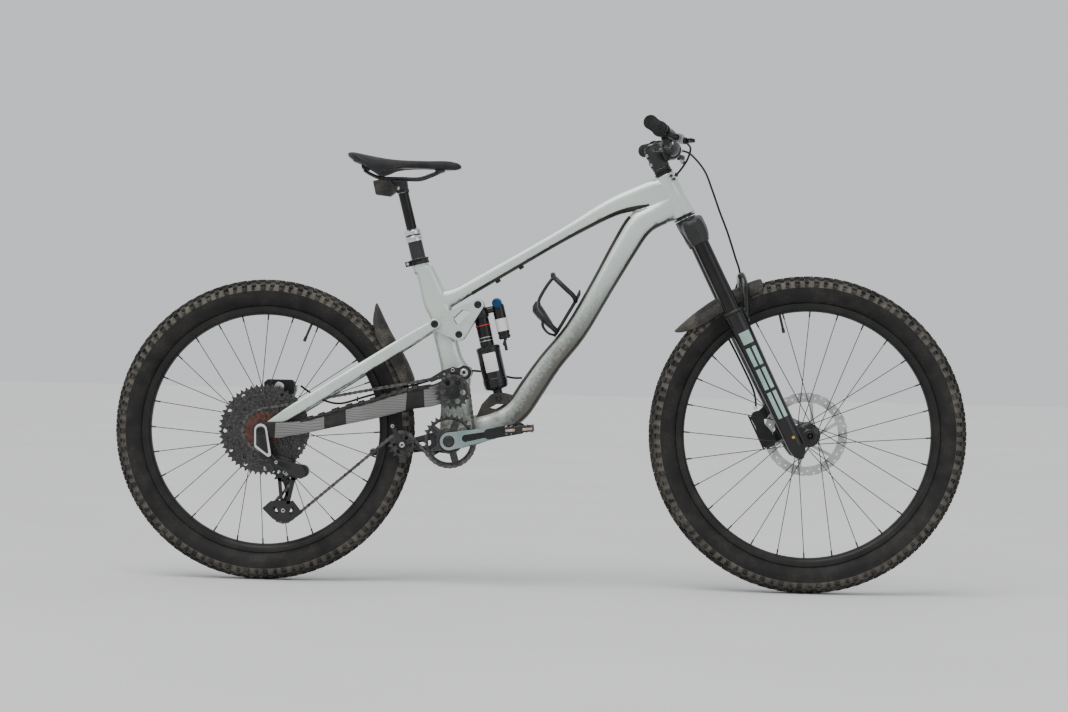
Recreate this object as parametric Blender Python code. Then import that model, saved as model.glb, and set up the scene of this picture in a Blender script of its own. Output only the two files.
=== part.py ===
"""Full-suspension mountain bike with a high main pivot, an upper idler and a smaller rear wheel.

Axes: X forward, Y to the rider's left, Z up. Origin: on the ground, midway between the tyres' ends.
Lengths below are in millimetres and are turned into metres where the meshes are made.
"""
import bpy, bmesh, math
from mathutils import Vector, Matrix
from mathutils.geometry import tessellate_polygon

MM = 0.001
GAP = 0.4                      # clearance between neighbours
TYRE_R_REAR, TYRE_R_FRONT = 355.5, 374.5
RIM_IN_REAR, RIM_IN_FRONT = 272.0, 291.0
TYRE_HALF = 31.0
AXLE_R = (-651.5, 355.5)       # x, z
AXLE_F = (632.5, 374.5)
CRANK = (-210.5, 340.0)        # bottom bracket centre
CRANK_LEN, CRANK_ANGLE = 170.0, math.radians(11.8)
MAIN = (-180.5, 502.0)         # swingarm pivot
STAY = (-252.7, 614.5)         # seatstay to rocker
ROCK = (-195.6, 591.6)         # rocker to frame
SHOCK_TOP = (-152.4, 662.8)
SHOCK_LOW = (-98.0, 442.5)
IDLER = (-205.5, 455.5)
LOW_IDLER = (-321.5, 328.6)
GUIDE = (-596.0, 257.5)
TENSION = (-598.0, 167.0)
CAGE_PIVOT = (-561.0, 268.0)
STEER_O = (593.1, 354.9)       # point of the steering axis level with the front axle's foot
STEER_U = (-0.4462, 0.8949)    # up along the steering axis
FORK_TRAVEL, LEG_Y, LEG_R = 170.0, 71.5, 5.0
SEAT_O, SEAT_U = (-294.8, 761.3), (-0.2521, 0.9677)
CHAIN_Y, COG_Y = -51.0, -45.1
PITCH = 12.7
CRANK_DIR = (math.cos(CRANK_ANGLE), math.sin(CRANK_ANGLE))

for old in list(bpy.data.objects):
    bpy.data.objects.remove(old, do_unlink=True)
scene = bpy.context.scene
coll = scene.collection


def material(name, rgb, rough, metal=0.0):
    m = bpy.data.materials.new(name)
    m.use_nodes = True
    b = m.node_tree.nodes["Principled BSDF"]
    b.inputs["Base Color"].default_value = (*rgb, 1)
    b.inputs["Roughness"].default_value = rough
    b.inputs["Metallic"].default_value = metal
    return m


PAINT = material("frame_paint", (0.70, 0.75, 0.71), 0.28)
GREY = material("stay_grey", (0.42, 0.43, 0.44), 0.4)
BLACK = material("black_gloss", (0.02, 0.02, 0.022), 0.25)
SATIN = material("black_satin", (0.03, 0.03, 0.032), 0.5)
RUBBER = material("rubber", (0.025, 0.024, 0.022), 0.85)
STEEL = material("steel", (0.55, 0.55, 0.55), 0.3, 1.0)
DARKMETAL = material("dark_metal", (0.10, 0.10, 0.105), 0.4, 1.0)
PALE = material("pale_metal", (0.55, 0.64, 0.64), 0.35, 0.6)


def V(x, y, z):
    return Vector((x, y, z))


def sp(a, r, y=0.0):
    """Point at a along the steering axis, r in front of it."""
    return V(STEER_O[0] + STEER_U[0] * a + STEER_U[1] * r, y, STEER_O[1] + STEER_U[1] * a - STEER_U[0] * r)


def seat(s, r=0.0, y=0.0):
    """Point at s along the seat post's axis, r in front of it."""
    return V(SEAT_O[0] + SEAT_U[0] * s + SEAT_U[1] * r, y, SEAT_O[1] + SEAT_U[1] * s - SEAT_U[0] * r)


def make(name, verts, faces):
    me = bpy.data.meshes.new(name)
    me.from_pydata([tuple(v) for v in verts], [], faces)
    bm = bmesh.new()
    bm.from_mesh(me)
    bmesh.ops.remove_doubles(bm, verts=bm.verts, dist=1e-4)
    bmesh.ops.recalc_face_normals(bm, faces=bm.faces)
    if bm.calc_volume(signed=True) < 0:
        bmesh.ops.reverse_faces(bm, faces=bm.faces)
    bm.to_mesh(me)
    bm.free()
    ob = bpy.data.objects.new(name, me)
    coll.objects.link(ob)
    return ob


def loft(rings, closed=False):
    n = len(rings[0])
    verts = [p for r in rings for p in r]
    faces = []
    m = len(rings)
    for i in range(m if closed else m - 1):
        k = (i + 1) % m
        for j in range(n):
            faces.append((i * n + j, i * n + (j + 1) % n, k * n + (j + 1) % n, k * n + j))
    if not closed:
        faces.append(tuple(range(n)))
        faces.append(tuple(reversed(range((m - 1) * n, m * n))))
    return make("loft", verts, faces)


def frame_of(axis):
    w = Vector(axis).normalized()
    u = V(1, 0, 0) if abs(w.x) < 0.9 else V(0, 0, 1)
    u = (u - w * u.dot(w)).normalized()
    return u, w.cross(u), w


def lathe(profile, o, axis, n=20, ring=False):
    """Turned piece: profile is (radius, height); ring closes it on itself, else it starts and ends on the axis."""
    u, v, w = frame_of(axis)
    verts, index = [], []
    for r, h in profile:
        row = []
        if r < 1e-6:
            verts.append(o + w * h)
            row = [len(verts) - 1] * n
        else:
            for k in range(n):
                t = 2 * math.pi * k / n
                verts.append(o + w * h + u * (r * math.cos(t)) + v * (r * math.sin(t)))
                row.append(len(verts) - 1)
        index.append(row)
    faces = []
    rows = len(index)
    for i in range(rows if ring else rows - 1):
        a, b = index[i], index[(i + 1) % rows]
        for k in range(n):
            f = [a[k], a[(k + 1) % n], b[(k + 1) % n], b[k]]
            f = [x for j, x in enumerate(f) if x not in f[:j]]
            if len(f) > 2:
                faces.append(f)
    return make("lathe", verts, faces)


def rod(o, axis, r, h0, h1, n=16, hole=0.0):
    if hole:
        return lathe([(hole, h0), (r, h0), (r, h1), (hole, h1)], o, axis, n, ring=True)
    return lathe([(0, h0), (r, h0), (r, h1), (0, h1)], o, axis, n)


def yrod(c, r, y0, y1, n=16, hole=0.0):
    return rod(V(c[0], 0, c[1]), (0, 1, 0), r, y0, y1, n, hole)


def prism(outer, holes, o, ex, ey, ez, z0, z1):
    ex, ey, ez = Vector(ex), Vector(ey), Vector(ez)
    loops = [outer] + list(holes)
    flat = [[V(a, b, 0) for a, b in lp] for lp in loops]
    tris = tessellate_polygon(flat)
    pts = [p for lp in loops for p in lp]
    n = len(pts)
    verts = [o + ex * a + ey * b + ez * z for z in (z0, z1) for a, b in pts]
    faces = [tuple(t) for t in tris] + [tuple(i + n for i in reversed(t)) for t in tris]
    at = 0
    for lp in loops:
        m = len(lp)
        for j in range(m):
            a, b = at + j, at + (j + 1) % m
            faces.append((a, b, b + n, a + n))
        at += m
    return make("prism", verts, faces)


def plate(outer, holes, y0, y1):
    """Plate standing in the XZ plane, outlines in absolute x and z."""
    return prism(outer, holes, V(0, 0, 0), (1, 0, 0), (0, 0, 1), (0, 1, 0), y0, y1)


def circle(c, r, n=12, start=0.0):
    return [(c[0] + r * math.cos(start + 2 * math.pi * k / n), c[1] + r * math.sin(start + 2 * math.pi * k / n)) for k in range(n)]


def hull(circles, n=14):
    pts = sorted({(round(p[0], 4), round(p[1], 4)) for c, r in circles for p in circle(c, r, n)})

    def half(seq):
        out = []
        for p in seq:
            while len(out) > 1 and (out[-1][0] - out[-2][0]) * (p[1] - out[-2][1]) - (out[-1][1] - out[-2][1]) * (p[0] - out[-2][0]) <= 1e-6:
                out.pop()
            out.append(p)
        return out
    a, b = half(pts), half(pts[::-1])
    return a[:-1] + b[:-1]


def oval(c, ax, ay, hx, hy, n=12, p=2.6):
    ax, ay = Vector(ax).normalized(), Vector(ay).normalized()
    out = []
    for k in range(n):
        t = 2 * math.pi * (k + 0.5) / n
        ct, st = math.cos(t), math.sin(t)
        out.append(c + ax * (hx * math.copysign(abs(ct) ** (2 / p), ct)) + ay * (hy * math.copysign(abs(st) ** (2 / p), st)))
    return out


def spar(sections, n=10, p=2.6):
    """Tube whose sections are (upper x, z, lower x, z, half width, y centre)."""
    rings = []
    for s in sections:
        ux, uz, lx, lz, hw = s[:5]
        yc = s[5] if len(s) > 5 else 0.0
        d = V(ux - lx, 0, uz - lz)
        rings.append(oval(V((ux + lx) / 2, yc, (uz + lz) / 2), (0, 1, 0), d, hw, d.length / 2, n, p))
    return loft(rings)


def pipe(points, r, n=8, closed=False):
    pts = [Vector(p) for p in points]
    m = len(pts)
    rings, up = [], None
    for i, p in enumerate(pts):
        a = pts[(i - 1) % m] if (i or closed) else p
        b = pts[(i + 1) % m] if (i < m - 1 or closed) else p
        t = (b - a).normalized()
        if up is None:
            up = frame_of(t)[0]
        up = (up - t * up.dot(t)).normalized()
        rr = r[i] if isinstance(r, (list, tuple)) else r
        rings.append([p + up * (rr * math.cos(2 * math.pi * k / n)) + t.cross(up) * (rr * math.sin(2 * math.pi * k / n)) for k in range(n)])
    return loft(rings, closed)


def smooth(points, per=3):
    """Catmull-Rom curve through the points."""
    p = [Vector(q) for q in points]
    out = []
    for i in range(len(p) - 1):
        a, b, c, d = p[max(i - 1, 0)], p[i], p[i + 1], p[min(i + 2, len(p) - 1)]
        for k in range(per):
            t = k / per
            out.append(0.5 * ((2 * b) + (c - a) * t + (2 * a - 5 * b + 4 * c - d) * t * t + (3 * b - a - 3 * c + d) * t ** 3))
    return out + [p[-1]]


def boolean(a, b, op="UNION"):
    mod = a.modifiers.new("cut", "BOOLEAN")
    mod.operation, mod.object, mod.solver = op, b, "EXACT"
    bpy.context.view_layer.update()
    dg = bpy.context.evaluated_depsgraph_get()
    me = bpy.data.meshes.new_from_object(a.evaluated_get(dg))
    a.modifiers.clear()
    a.data = me
    bpy.data.objects.remove(b, do_unlink=True)
    return a


def union(*obs):
    a = obs[0]
    for b in obs[1:]:
        a = boolean(a, b)
    return a


def cut(a, *obs):
    for b in obs:
        a = boolean(a, b, "DIFFERENCE")
    return a


def box(x0, x1, y0, y1, z0, z1):
    return prism([(x0, z0), (x1, z0), (x1, z1), (x0, z1)], [], V(0, 0, 0), (1, 0, 0), (0, 0, 1), (0, 1, 0), y0, y1)


PIVOTS = {}


def pivot(body, x, y, z):
    e = bpy.data.objects.new("axis_" + body, None)
    coll.objects.link(e)
    e.location = (x * MM, y * MM, z * MM)
    PIVOTS[body] = e


def node(name, ob, mat, body="frame"):
    """Names a finished piece, scales it to metres and hangs it on its body's axis."""
    e = PIVOTS[body]
    bm = bmesh.new()
    bm.from_mesh(ob.data)
    for v in bm.verts:
        v.co = v.co * MM - e.location
    bmesh.ops.dissolve_limit(bm, angle_limit=math.radians(0.6), verts=bm.verts, edges=bm.edges)
    bmesh.ops.triangulate(bm, faces=bm.faces)
    bmesh.ops.remove_doubles(bm, verts=bm.verts, dist=6e-5)
    bmesh.ops.dissolve_degenerate(bm, edges=bm.edges, dist=1e-5)
    bm.verts.index_update()
    doubled = {}
    for f in bm.faces:
        doubled.setdefault(tuple(sorted(v.index for v in f.verts)), []).append(f)
    bmesh.ops.delete(bm, geom=[f for same in doubled.values() if len(same) > 1 for f in same], context="FACES_ONLY")
    bmesh.ops.delete(bm, geom=[e for e in bm.edges if not e.link_faces], context="EDGES")
    bmesh.ops.delete(bm, geom=[v for v in bm.verts if not v.link_faces], context="VERTS")
    bmesh.ops.holes_fill(bm, edges=[e for e in bm.edges if len(e.link_faces) == 1], sides=8)
    bmesh.ops.triangulate(bm, faces=bm.faces)
    bmesh.ops.recalc_face_normals(bm, faces=bm.faces)
    if bm.calc_volume(signed=True) < 0:
        bmesh.ops.reverse_faces(bm, faces=bm.faces)
    me = bpy.data.meshes.new(name)
    bm.to_mesh(me)
    bm.free()
    me.materials.clear()
    me.materials.append(mat)
    me.shade_smooth()
    me.set_sharp_from_angle(angle=math.radians(35))
    bpy.data.objects.remove(ob, do_unlink=True)
    out = bpy.data.objects.new(name, me)
    coll.objects.link(out)
    out.parent = e
    return out


S0 = sp(0, 0)
pivot("frame", 0, 0, 0)
for body, c in (("swingarm", MAIN), ("seatstay", AXLE_R), ("rear_wheel", AXLE_R), ("cassette", AXLE_R), ("derailleur", CAGE_PIVOT),
                ("derailleur_cage", CAGE_PIVOT), ("guide_pulley", GUIDE), ("tension_pulley", TENSION), ("idler", IDLER),
                ("lower_idler", LOW_IDLER), ("rocker", ROCK), ("shock_can", SHOCK_LOW), ("shock_damper", SHOCK_TOP),
                ("steering", STEER_O), ("fork_lowers", STEER_O), ("front_wheel", AXLE_F), ("crank", CRANK)):
    pivot(body, c[0], 0, c[1])
pivot("dropper", SEAT_O[0], 0, SEAT_O[1])
SU = V(STEER_U[0], 0, STEER_U[1])
SN = V(STEER_U[1], 0, -STEER_U[0])
DU = V(SEAT_U[0], 0, SEAT_U[1])

# ------------------------------------------------------------------ main frame
head = lathe([(0, 590), (28, 590), (27, 606), (23.5, 640), (23, 702), (0, 702)], S0, SU, 20)
top = spar([(286, 972, 312, 905, 21), (249, 969, 262, 899, 22), (203.3, 949.8, 205, 893, 22), (140.6, 918.7, 152, 875, 21),
            (36.6, 850.7, 47, 818, 19.5), (-58.5, 792.5, -48, 760, 18.5), (-163, 730.8, -152, 696, 18),
            (-214, 702, -196, 668, 18), (-262, 690, -240, 640, 16)])
down = spar([(288, 938, 320, 879, 24), (238, 905, 277, 862, 26), (198.8, 881.9, 247, 841, 27), (164.3, 824.1, 217, 795, 27.5),
             (113.2, 722.6, 160, 697, 28.5), (56.5, 620.3, 101, 593, 30), (-3, 545, 44, 518, 31.5), (-44.5, 485.8, 3, 452, 33),
             (-78, 436, -30, 402, 34), (-118, 411, -72, 368, 35), (-165, 398, -128, 340, 35), (-212, 372, -196, 318, 34)])
seat_tube = spar([(-307, 744, -263, 756, 19.5), (-296, 712, -246, 722, 19.5), (-283, 660, -222, 672, 20), (-267, 628, -212, 640, 21),
                  (-257.5, 588, -203, 598, 21), (-244, 535, -188.2, 542, 22), (-238, 505, -166, 505, 23), (-236, 440, -168, 442, 22),
                  (-236.5, 398, -165, 392, 26), (-238, 350, -184, 340, 34)])
collar = rod(seat(0), DU, 19.3, -24, 10, 20)
shell = yrod(CRANK, 31, -36, 36, 20)
rock_boss = yrod(ROCK, 13, -23.8, 23.8, 14)
main_boss = yrod(MAIN, 16, -25, 25, 16)
frame = union(down, top, seat_tube, head, collar, shell, rock_boss, main_boss)
EAR = [(-150, 398), (-138, 428), (-117, 452), (-98, 457), (-82, 455), (-60, 450), (-52, 436), (-66, 404), (-100, 392)]
EAR_HOLE = [(-120, 419), (-103, 429), (-84, 429), (-78, 420), (-88, 414.5)]
for y0, y1 in ((14.4, 24), (-24, -14.4)):
    frame = union(frame, plate(EAR, [EAR_HOLE], y0, y1))
frame = union(frame, yrod(SHOCK_LOW, 5, -15, 15, 12))
TTN, TTT = Vector((0.5299, 0, -0.848)), Vector((0.848, 0, 0.5299))
BOSS = [V(-108.2, 0, 722.2), V(-53.9, 0, 756.1)]
for c in BOSS:
    frame = union(frame, rod(c, TTN, 6, -14, 6, 12))
frame = cut(frame, rod(S0, SU, 20.4, 560, 720, 20), rod(seat(0), DU, 17.6, -80, 20, 20), yrod(CRANK, 20.5, -43, 43, 18),
            yrod(MAIN, 8.4, -30, 30, 14), yrod(ROCK, 6.4, -30, 30, 12))
node("main_frame", frame, PAINT)

node("headset", lathe([(15.4, 586.4), (27, 586.4), (27, 589.6), (20, 589.6), (20, 702.4), (22.5, 702.4), (22.5, 706), (15.4, 706)], S0, SU, 20, ring=True), SATIN)
node("bottom_bracket", lathe([(14.4, -42), (22, -42), (22, -36.4), (20, -36.4), (20, 36.4), (22, 36.4), (22, 42), (14.4, 42)], V(CRANK[0], 0, CRANK[1]), (0, 1, 0), 20, ring=True), SATIN)
clamp = rod(seat(0), DU, 23, -6, 8, 20, hole=19.7)
ear = prism([(-34, -7), (-21, -7), (-21, 7), (-34, 7)], [], seat(1), (SEAT_U[1], 0, -SEAT_U[0]), (0, 1, 0), (SEAT_U[0], 0, SEAT_U[1]), -6, 6)
node("seatpost_clamp", union(clamp, ear), SATIN)
node("dropper_outer_tube", lathe([(0, -76), (17.2, -76), (17.2, 47), (19.5, 49), (19.5, 62), (18.5, 64), (19.5, 66), (19.5, 76), (16, 79), (13, 79), (13, -70), (0, -70)], seat(0), DU, 20), SATIN)

# bottle cage on the down tube
CU = V(-0.4926, 0, -0.8703)
CN = V(-0.8703, 0, 0.4926)
CO = V(92, 0, 685) + CN * 5.5


def cg(t, d, y):
    return CO + CU * t + CN * d + V(0, y, 0)


base = prism([(-3, -11), (112, -11), (112, 11), (-3, 11)], [[(30, -5), (85, -5), (85, 5), (30, 5)]], CO, CU, (0, 1, 0), CN, 0.5, 5)
sides = []
for s in (1, -1):
    sides.append(pipe(smooth([cg(8, 3, 6 * s), cg(-2, 22, 24 * s), cg(6, 50, 37 * s), cg(40, 78, 36 * s), cg(66, 84, 24 * s), cg(76, 60, 34 * s),
                              cg(82, 34, 36 * s), cg(96, 12, 24 * s), cg(104, 3, 8 * s)], 2), 2.6, 5))
bar = pipe([cg(64, 84, 27), cg(70, 86, 0), cg(64, 84, -27)], 3, 6)
node("bottle_cage", union(base, sides[0], sides[1], bar), SATIN)

# ------------------------------------------------------------------ chain path
def belt(wheels, start, end, step=20.0):
    """Pitch line over the wheels (centre, radius, sense, y) between two outside points or wheels' own first and last angles."""
    ends = []
    for (c0, r0, s0, _), (c1, r1, s1, _) in zip(wheels, wheels[1:]):
        dx, dz = c1[0] - c0[0], c1[1] - c0[1]
        d, base_a = math.hypot(dx, dz), math.atan2(dz, dx)
        k = (s0 * r0 - s1 * r1) / d
        a = base_a + math.pi / 2 - math.asin(k)
        n = (math.cos(a), math.sin(a))
        ends.append(((c0[0] + s0 * r0 * n[0], c0[1] + s0 * r0 * n[1]), (c1[0] + s1 * r1 * n[0], c1[1] + s1 * r1 * n[1])))
    pts = []
    for i, (c, r, s, y) in enumerate(wheels):
        a0 = start if i == 0 else math.atan2(ends[i - 1][1][1] - c[1], ends[i - 1][1][0] - c[0])
        a1 = end if i == len(wheels) - 1 else math.atan2(ends[i][0][1] - c[1], ends[i][0][0] - c[0])
        turn = (a0 - a1) % (2 * math.pi) if s > 0 else (a1 - a0) % (2 * math.pi)
        m = max(1, int(math.degrees(turn) / step + 0.5))
        for j in range(m + 1):
            t = a0 - s * turn * j / m
            pts.append((V(c[0] + r * math.cos(t), y, c[1] + r * math.sin(t)), i))
    return pts


def chain(pts, pins):
    """Two plate strips along the pitch line, joined by pins on the free spans."""
    out = []
    for lo, hi in ((1.25, 2.6), (-2.6, -1.25)):
        rings = []
        for i, (p, _) in enumerate(pts):
            a = pts[max(i - 1, 0)][0]
            b = pts[min(i + 1, len(pts) - 1)][0]
            t = (b - a)
            n = V(-t.z, 0, t.x).normalized()
            rings.append([p + n * 4.1 + V(0, lo, 0), p + n * 4.1 + V(0, hi, 0), p - n * 4.1 + V(0, hi, 0), p - n * 4.1 + V(0, lo, 0)])
        out.append(loft(rings))
    a = union(out[0], *[rod(c, (0, 1, 0), 2.2, -1.8, 1.8, 6) for c in pins])
    return union(a, out[1])


def radius(teeth):
    return PITCH / (2 * math.sin(math.pi / teeth))


R30, R19, R15, R14, R24 = radius(30), radius(19), radius(15), radius(14), radius(24)
# the rear run meets the upper idler on the tangent from the cassette, and the lower idler on the tangent to the tension pulley
front_wheels = [(IDLER, R19, 1, CHAIN_Y), (CRANK, R30, 1, CHAIN_Y), (LOW_IDLER, R15, -1, CHAIN_Y)]
rear_wheels = [(LOW_IDLER, R15, -1, CHAIN_Y), (TENSION, R14, 1, COG_Y), (GUIDE, R14, -1, COG_Y), (AXLE_R, R24, 1, COG_Y), (IDLER, R19, 1, CHAIN_Y)]
probe = belt(rear_wheels, 0, 0)
low_out = probe[[i for i, q in enumerate(probe) if q[1] == 0][-1]][0]
idler_in = probe[[i for i, q in enumerate(probe) if q[1] == 4][0]][0]
a_in = math.atan2(idler_in.z - IDLER[1], idler_in.x - IDLER[0])
a_out = math.atan2(low_out.z - LOW_IDLER[1], low_out.x - LOW_IDLER[0])
gap_a = 0.03
fp = belt(front_wheels, a_in - gap_a, a_out - gap_a * 1.3)


def mids(pts, every):
    out = []
    for (p, i), (q, j) in zip(pts, pts[1:]):
        if i != j:
            d = (q - p).length
            k = max(1, int(d / every))
            out += [p + (q - p) * ((m + 0.5) / k) for m in range(k)]
    return out


node("chain_front_loop", chain(fp, mids(fp, 60)), DARKMETAL)
rp = belt(rear_wheels, a_out, a_in)
first = [i for i, q in enumerate(rp) if q[1] == 0][-1]
last = [i for i, q in enumerate(rp) if q[1] == 4][0]
rp = rp[first:last + 1]
rp[0] = (rp[0][0] + (rp[1][0] - rp[0][0]).normalized() * 1.0, 0)
rp[-1] = (rp[-1][0] + (rp[-2][0] - rp[-1][0]).normalized() * 1.0, 4)
node("chain_rear_loop", chain(rp, mids(rp, 110)), DARKMETAL, "swingarm")


def sprocket(c, teeth, y, hub_r, hub_half, bore, half=0.9, spokes=0):
    r = radius(teeth)
    out = []
    for k in range(teeth):
        for f, rr in ((0.0, r - 3.6), (0.5, r + 2.4)):
            t = 2 * math.pi * (k + f) / teeth
            out.append((c[0] + rr * math.cos(t), c[1] + rr * math.sin(t)))
    disc = plate(out, [circle(c, hub_r - 2, 12)], y - half, y + half)
    hub = yrod(c, hub_r, y - hub_half, y + hub_half, 12, hole=bore)
    return union(disc, hub)


node("idler_pulley", sprocket(IDLER, 19, CHAIN_Y, 14, 4, 6.5), DARKMETAL, "idler")
node("lower_idler_pulley", sprocket(LOW_IDLER, 15, CHAIN_Y, 12, 4, 5.5), DARKMETAL, "lower_idler")
node("chainring", sprocket(CRANK, 30, CHAIN_Y, 22, 3, 14.6), DARKMETAL, "crank")
node("guide_pulley", sprocket(GUIDE, 14, COG_Y, 9, 3.2, 4.5), DARKMETAL, "guide_pulley")
node("tension_pulley", sprocket(TENSION, 14, COG_Y, 9, 3.2, 4.5), DARKMETAL, "tension_pulley")

# brackets on the frame
pin = yrod(IDLER, 6, -57.5, -42, 12)
axle = yrod(MAIN, 8, -44, 40.6, 14)
post = yrod((-206, 507.5), 4, -60, -42, 10)
cover = plate([(-258, 488), (-262, 482), (-256, 477), (-233, 487), (-212, 499.5), (-196, 502.5), (-192, 511), (-206, 515), (-232, 505)], [], -60, -57.8)
nut = yrod(MAIN, 12, 40.2, 44, 12)
arm = plate(hull([(IDLER, 11), (MAIN, 13), ((-206, 504.5), 7)]), [], -44.6, -41)
node("idler_bracket_and_main_axle", union(arm, pin, axle, post, cover, nut), SATIN)
low = plate(hull([(CRANK, 30), (LOW_IDLER, 9)]), [circle(CRANK, 22.6, 16)], -45.4, -42.3)
low = union(low, yrod(LOW_IDLER, 5, -56.5, -43, 12))
low = union(low, plate(hull([(LOW_IDLER, 12), ((-345, 372), 5)]), [], -58.5, -55.8))
low = union(low, yrod((-345, 372), 3.5, -57, -43.5, 8), plate(hull([(LOW_IDLER, 9), ((-345, 372), 5)]), [], -45.4, -42.3))
node("lower_idler_bracket", low, SATIN)

# ------------------------------------------------------------------ swingarm
arms = []
for s in (-1, 1):
    secs = [(-190, 516, -178, 488, 6.3, 33), (-222, 490, -201, 452, 6.8, 32.2), (-252, 473, -240, 424, 7.3, 35), (-300, 463, -303, 412, 8, 45),
            (-350, 449, -347, 399, 8, 48), (-400, 431, -397, 386, 8, 50), (-456, 415, -454, 373, 8, 54), (-520, 392, -519, 357, 7.5, 63),
            (-560, 381, -562, 347, 6.5, 72), (-585, 378, -587, 343, 4.5, 80.5), (-606, 377, -608, 338, 2.8, 84.2), (-651.5, 376, -651.5, 335, 2.8, 84.2)]
    arm = spar([(a, b, c, d, h, s * y) for a, b, c, d, h, y in secs], 10, 3.0)
    ring = yrod(MAIN, 17, *sorted((s * 25.5, s * 40)), 16)
    drop = yrod(AXLE_R, 20, *sorted((s * 81.4, s * 87)), 16)
    arms.append(union(arm, ring, drop))
yoke = prism([(-284, 434), (-246, 436), (-246, 462), (-284, 462)], [], V(0, 0, 0), (1, 0, 0), (0, 0, 1), (0, 1, 0), -38, 38)
swing = union(arms[0], yoke, arms[1])
swing = cut(swing, yrod(MAIN, 8.4, -50, 50, 14), yrod(AXLE_R, 6.5, -100, 100, 12))
node("chainstay", swing, GREY, "swingarm")
node("rear_axle", union(yrod(AXLE_R, 6, -97, 90, 12), yrod(AXLE_R, 9, -97.5, -94, 12), yrod(AXLE_R, 9, 87.4, 90.5, 12)), DARKMETAL, "swingarm")
mount = plate(hull([(AXLE_R, 15), ((-641, 302), 14)]), [circle(AXLE_R, 6.5, 12), hull([((-648, 333), 5), ((-643, 305), 6)], 8)], -93.4, -87.5)
node("derailleur_mount", union(mount, yrod((-641, 298), 11, -92, -70, 12)), SATIN, "swingarm")

# rear mudguard: a curved sheet between the tyre and the seat tube
rings = []
for k in range(9):
    t = math.radians(22 + 36 * k / 8)
    rr = TYRE_R_REAR + 13 + (10 if k in (0, 8) else 6) * 0.3
    half = 30 - 9 * (k / 8) ** 2
    c = V(AXLE_R[0], 0, AXLE_R[1])
    d = V(math.cos(t), 0, math.sin(t))
    rings.append([c + d * rr + V(0, -half, 0) - d * 8, c + d * (rr + 3) + V(0, -half * 0.5, 0), c + d * (rr + 3) + V(0, half * 0.5, 0), c + d * rr + V(0, half, 0) - d * 8,
                  c + d * (rr - 2.2) + V(0, half - 2, 0) - d * 8, c + d * rr + V(0, half * 0.45, 0), c + d * rr + V(0, -half * 0.45, 0), c + d * (rr - 2.2) + V(0, -half + 2, 0) - d * 8])
node("rear_mudguard", loft(rings), RUBBER, "swingarm")

# ------------------------------------------------------------------ seatstay and brake
stays = []
SD, SNRM = V(0.839, 0, 0.5447), V(-0.5447, 0, 0.839)
A0 = V(AXLE_R[0], 0, AXLE_R[1])
for s in (-1, 1):
    rings = []
    for t, y, hw, hh in ((4, 77.7, 2.9, 8), (52, 77.7, 2.9, 12), (90, 76, 6.5, 14), (200, 69, 7.5, 14.5), (300, 59, 7.5, 14.5), (360, 51, 7, 14.5),
                         (410, 44, 6, 14), (445, 39.5, 5.2, 13), (475.5, 38.2, 4.8, 11)):
        rings.append(oval(A0 + SD * t + V(0, s * y, 0), (0, 1, 0), SNRM, hw, hh, 10, 3.0))
    arm = loft(rings)
    ring = yrod(AXLE_R, 14, *sorted((s * 74.7, s * 80.8)), 14)
    eye = yrod(STAY, 13, *sorted((s * 33.3, s * 43.2)), 14)
    stays.append(union(arm, ring, eye))
link = prism([(383, -8), (397, -8), (397, 8), (383, 8)], [], A0, SD, SNRM, V(0, 1, 0), -46, 46)
tab = plate(hull([((-618, 384), 9), ((-592, 452), 6), ((-652, 452), 6)]), [circle((-622, 430), 8, 8)], 70.6, 77)
stay = union(stays[0], link, stays[1], tab)
stay = cut(stay, yrod(AXLE_R, 6.5, -100, 100, 12))
node("seatstay", stay, PAINT, "seatstay")
cal = box(-664, -590, 44, 70.2, 440, 474)
cal = union(cal, yrod((-586, 461), 4, 52, 64, 8), plate(hull([((-596, 452), 8), ((-586, 461), 7)]), [], 50, 66))
cal = cut(cal, box(-680, -570, 55, 59.2, 430, 461))
node("rear_brake_caliper", cal, SATIN, "seatstay")

# ------------------------------------------------------------------ wheels
def tyre(r, rim_in, c):
    ri, ro = rim_in + 14.5, rim_in + 20.5
    k = TYRE_HALF
    half = [(ri, 13.3), (ro + 0.5, 14.2), (ro + 1.8, 18), (ro + 27, k), (r - 8, k - 4), (r, 12)]
    inner = [(ri, 10.4), (ro + 27, k - 5), (r - 9, k - 13)]
    prof = half + [(a, -b) for a, b in reversed(half)] + [(a, -b) for a, b in inner] + [(a, b) for a, b in reversed(inner)]
    return lathe(prof, V(c[0], 0, c[1]), (0, 1, 0), 28, ring=True)


def rim(r, c):
    prof = [(r, -8), (r, 8), (r + 9, 17.2), (r + 20.5, 17.5), (r + 20.5, 14.8), (r + 13.5, 13.9), (r + 13.5, -13.9), (r + 20.5, -14.8), (r + 20.5, -17.5), (r + 9, -17.2)]
    return lathe(prof, V(c[0], 0, c[1]), (0, 1, 0), 28, ring=True)


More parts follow.
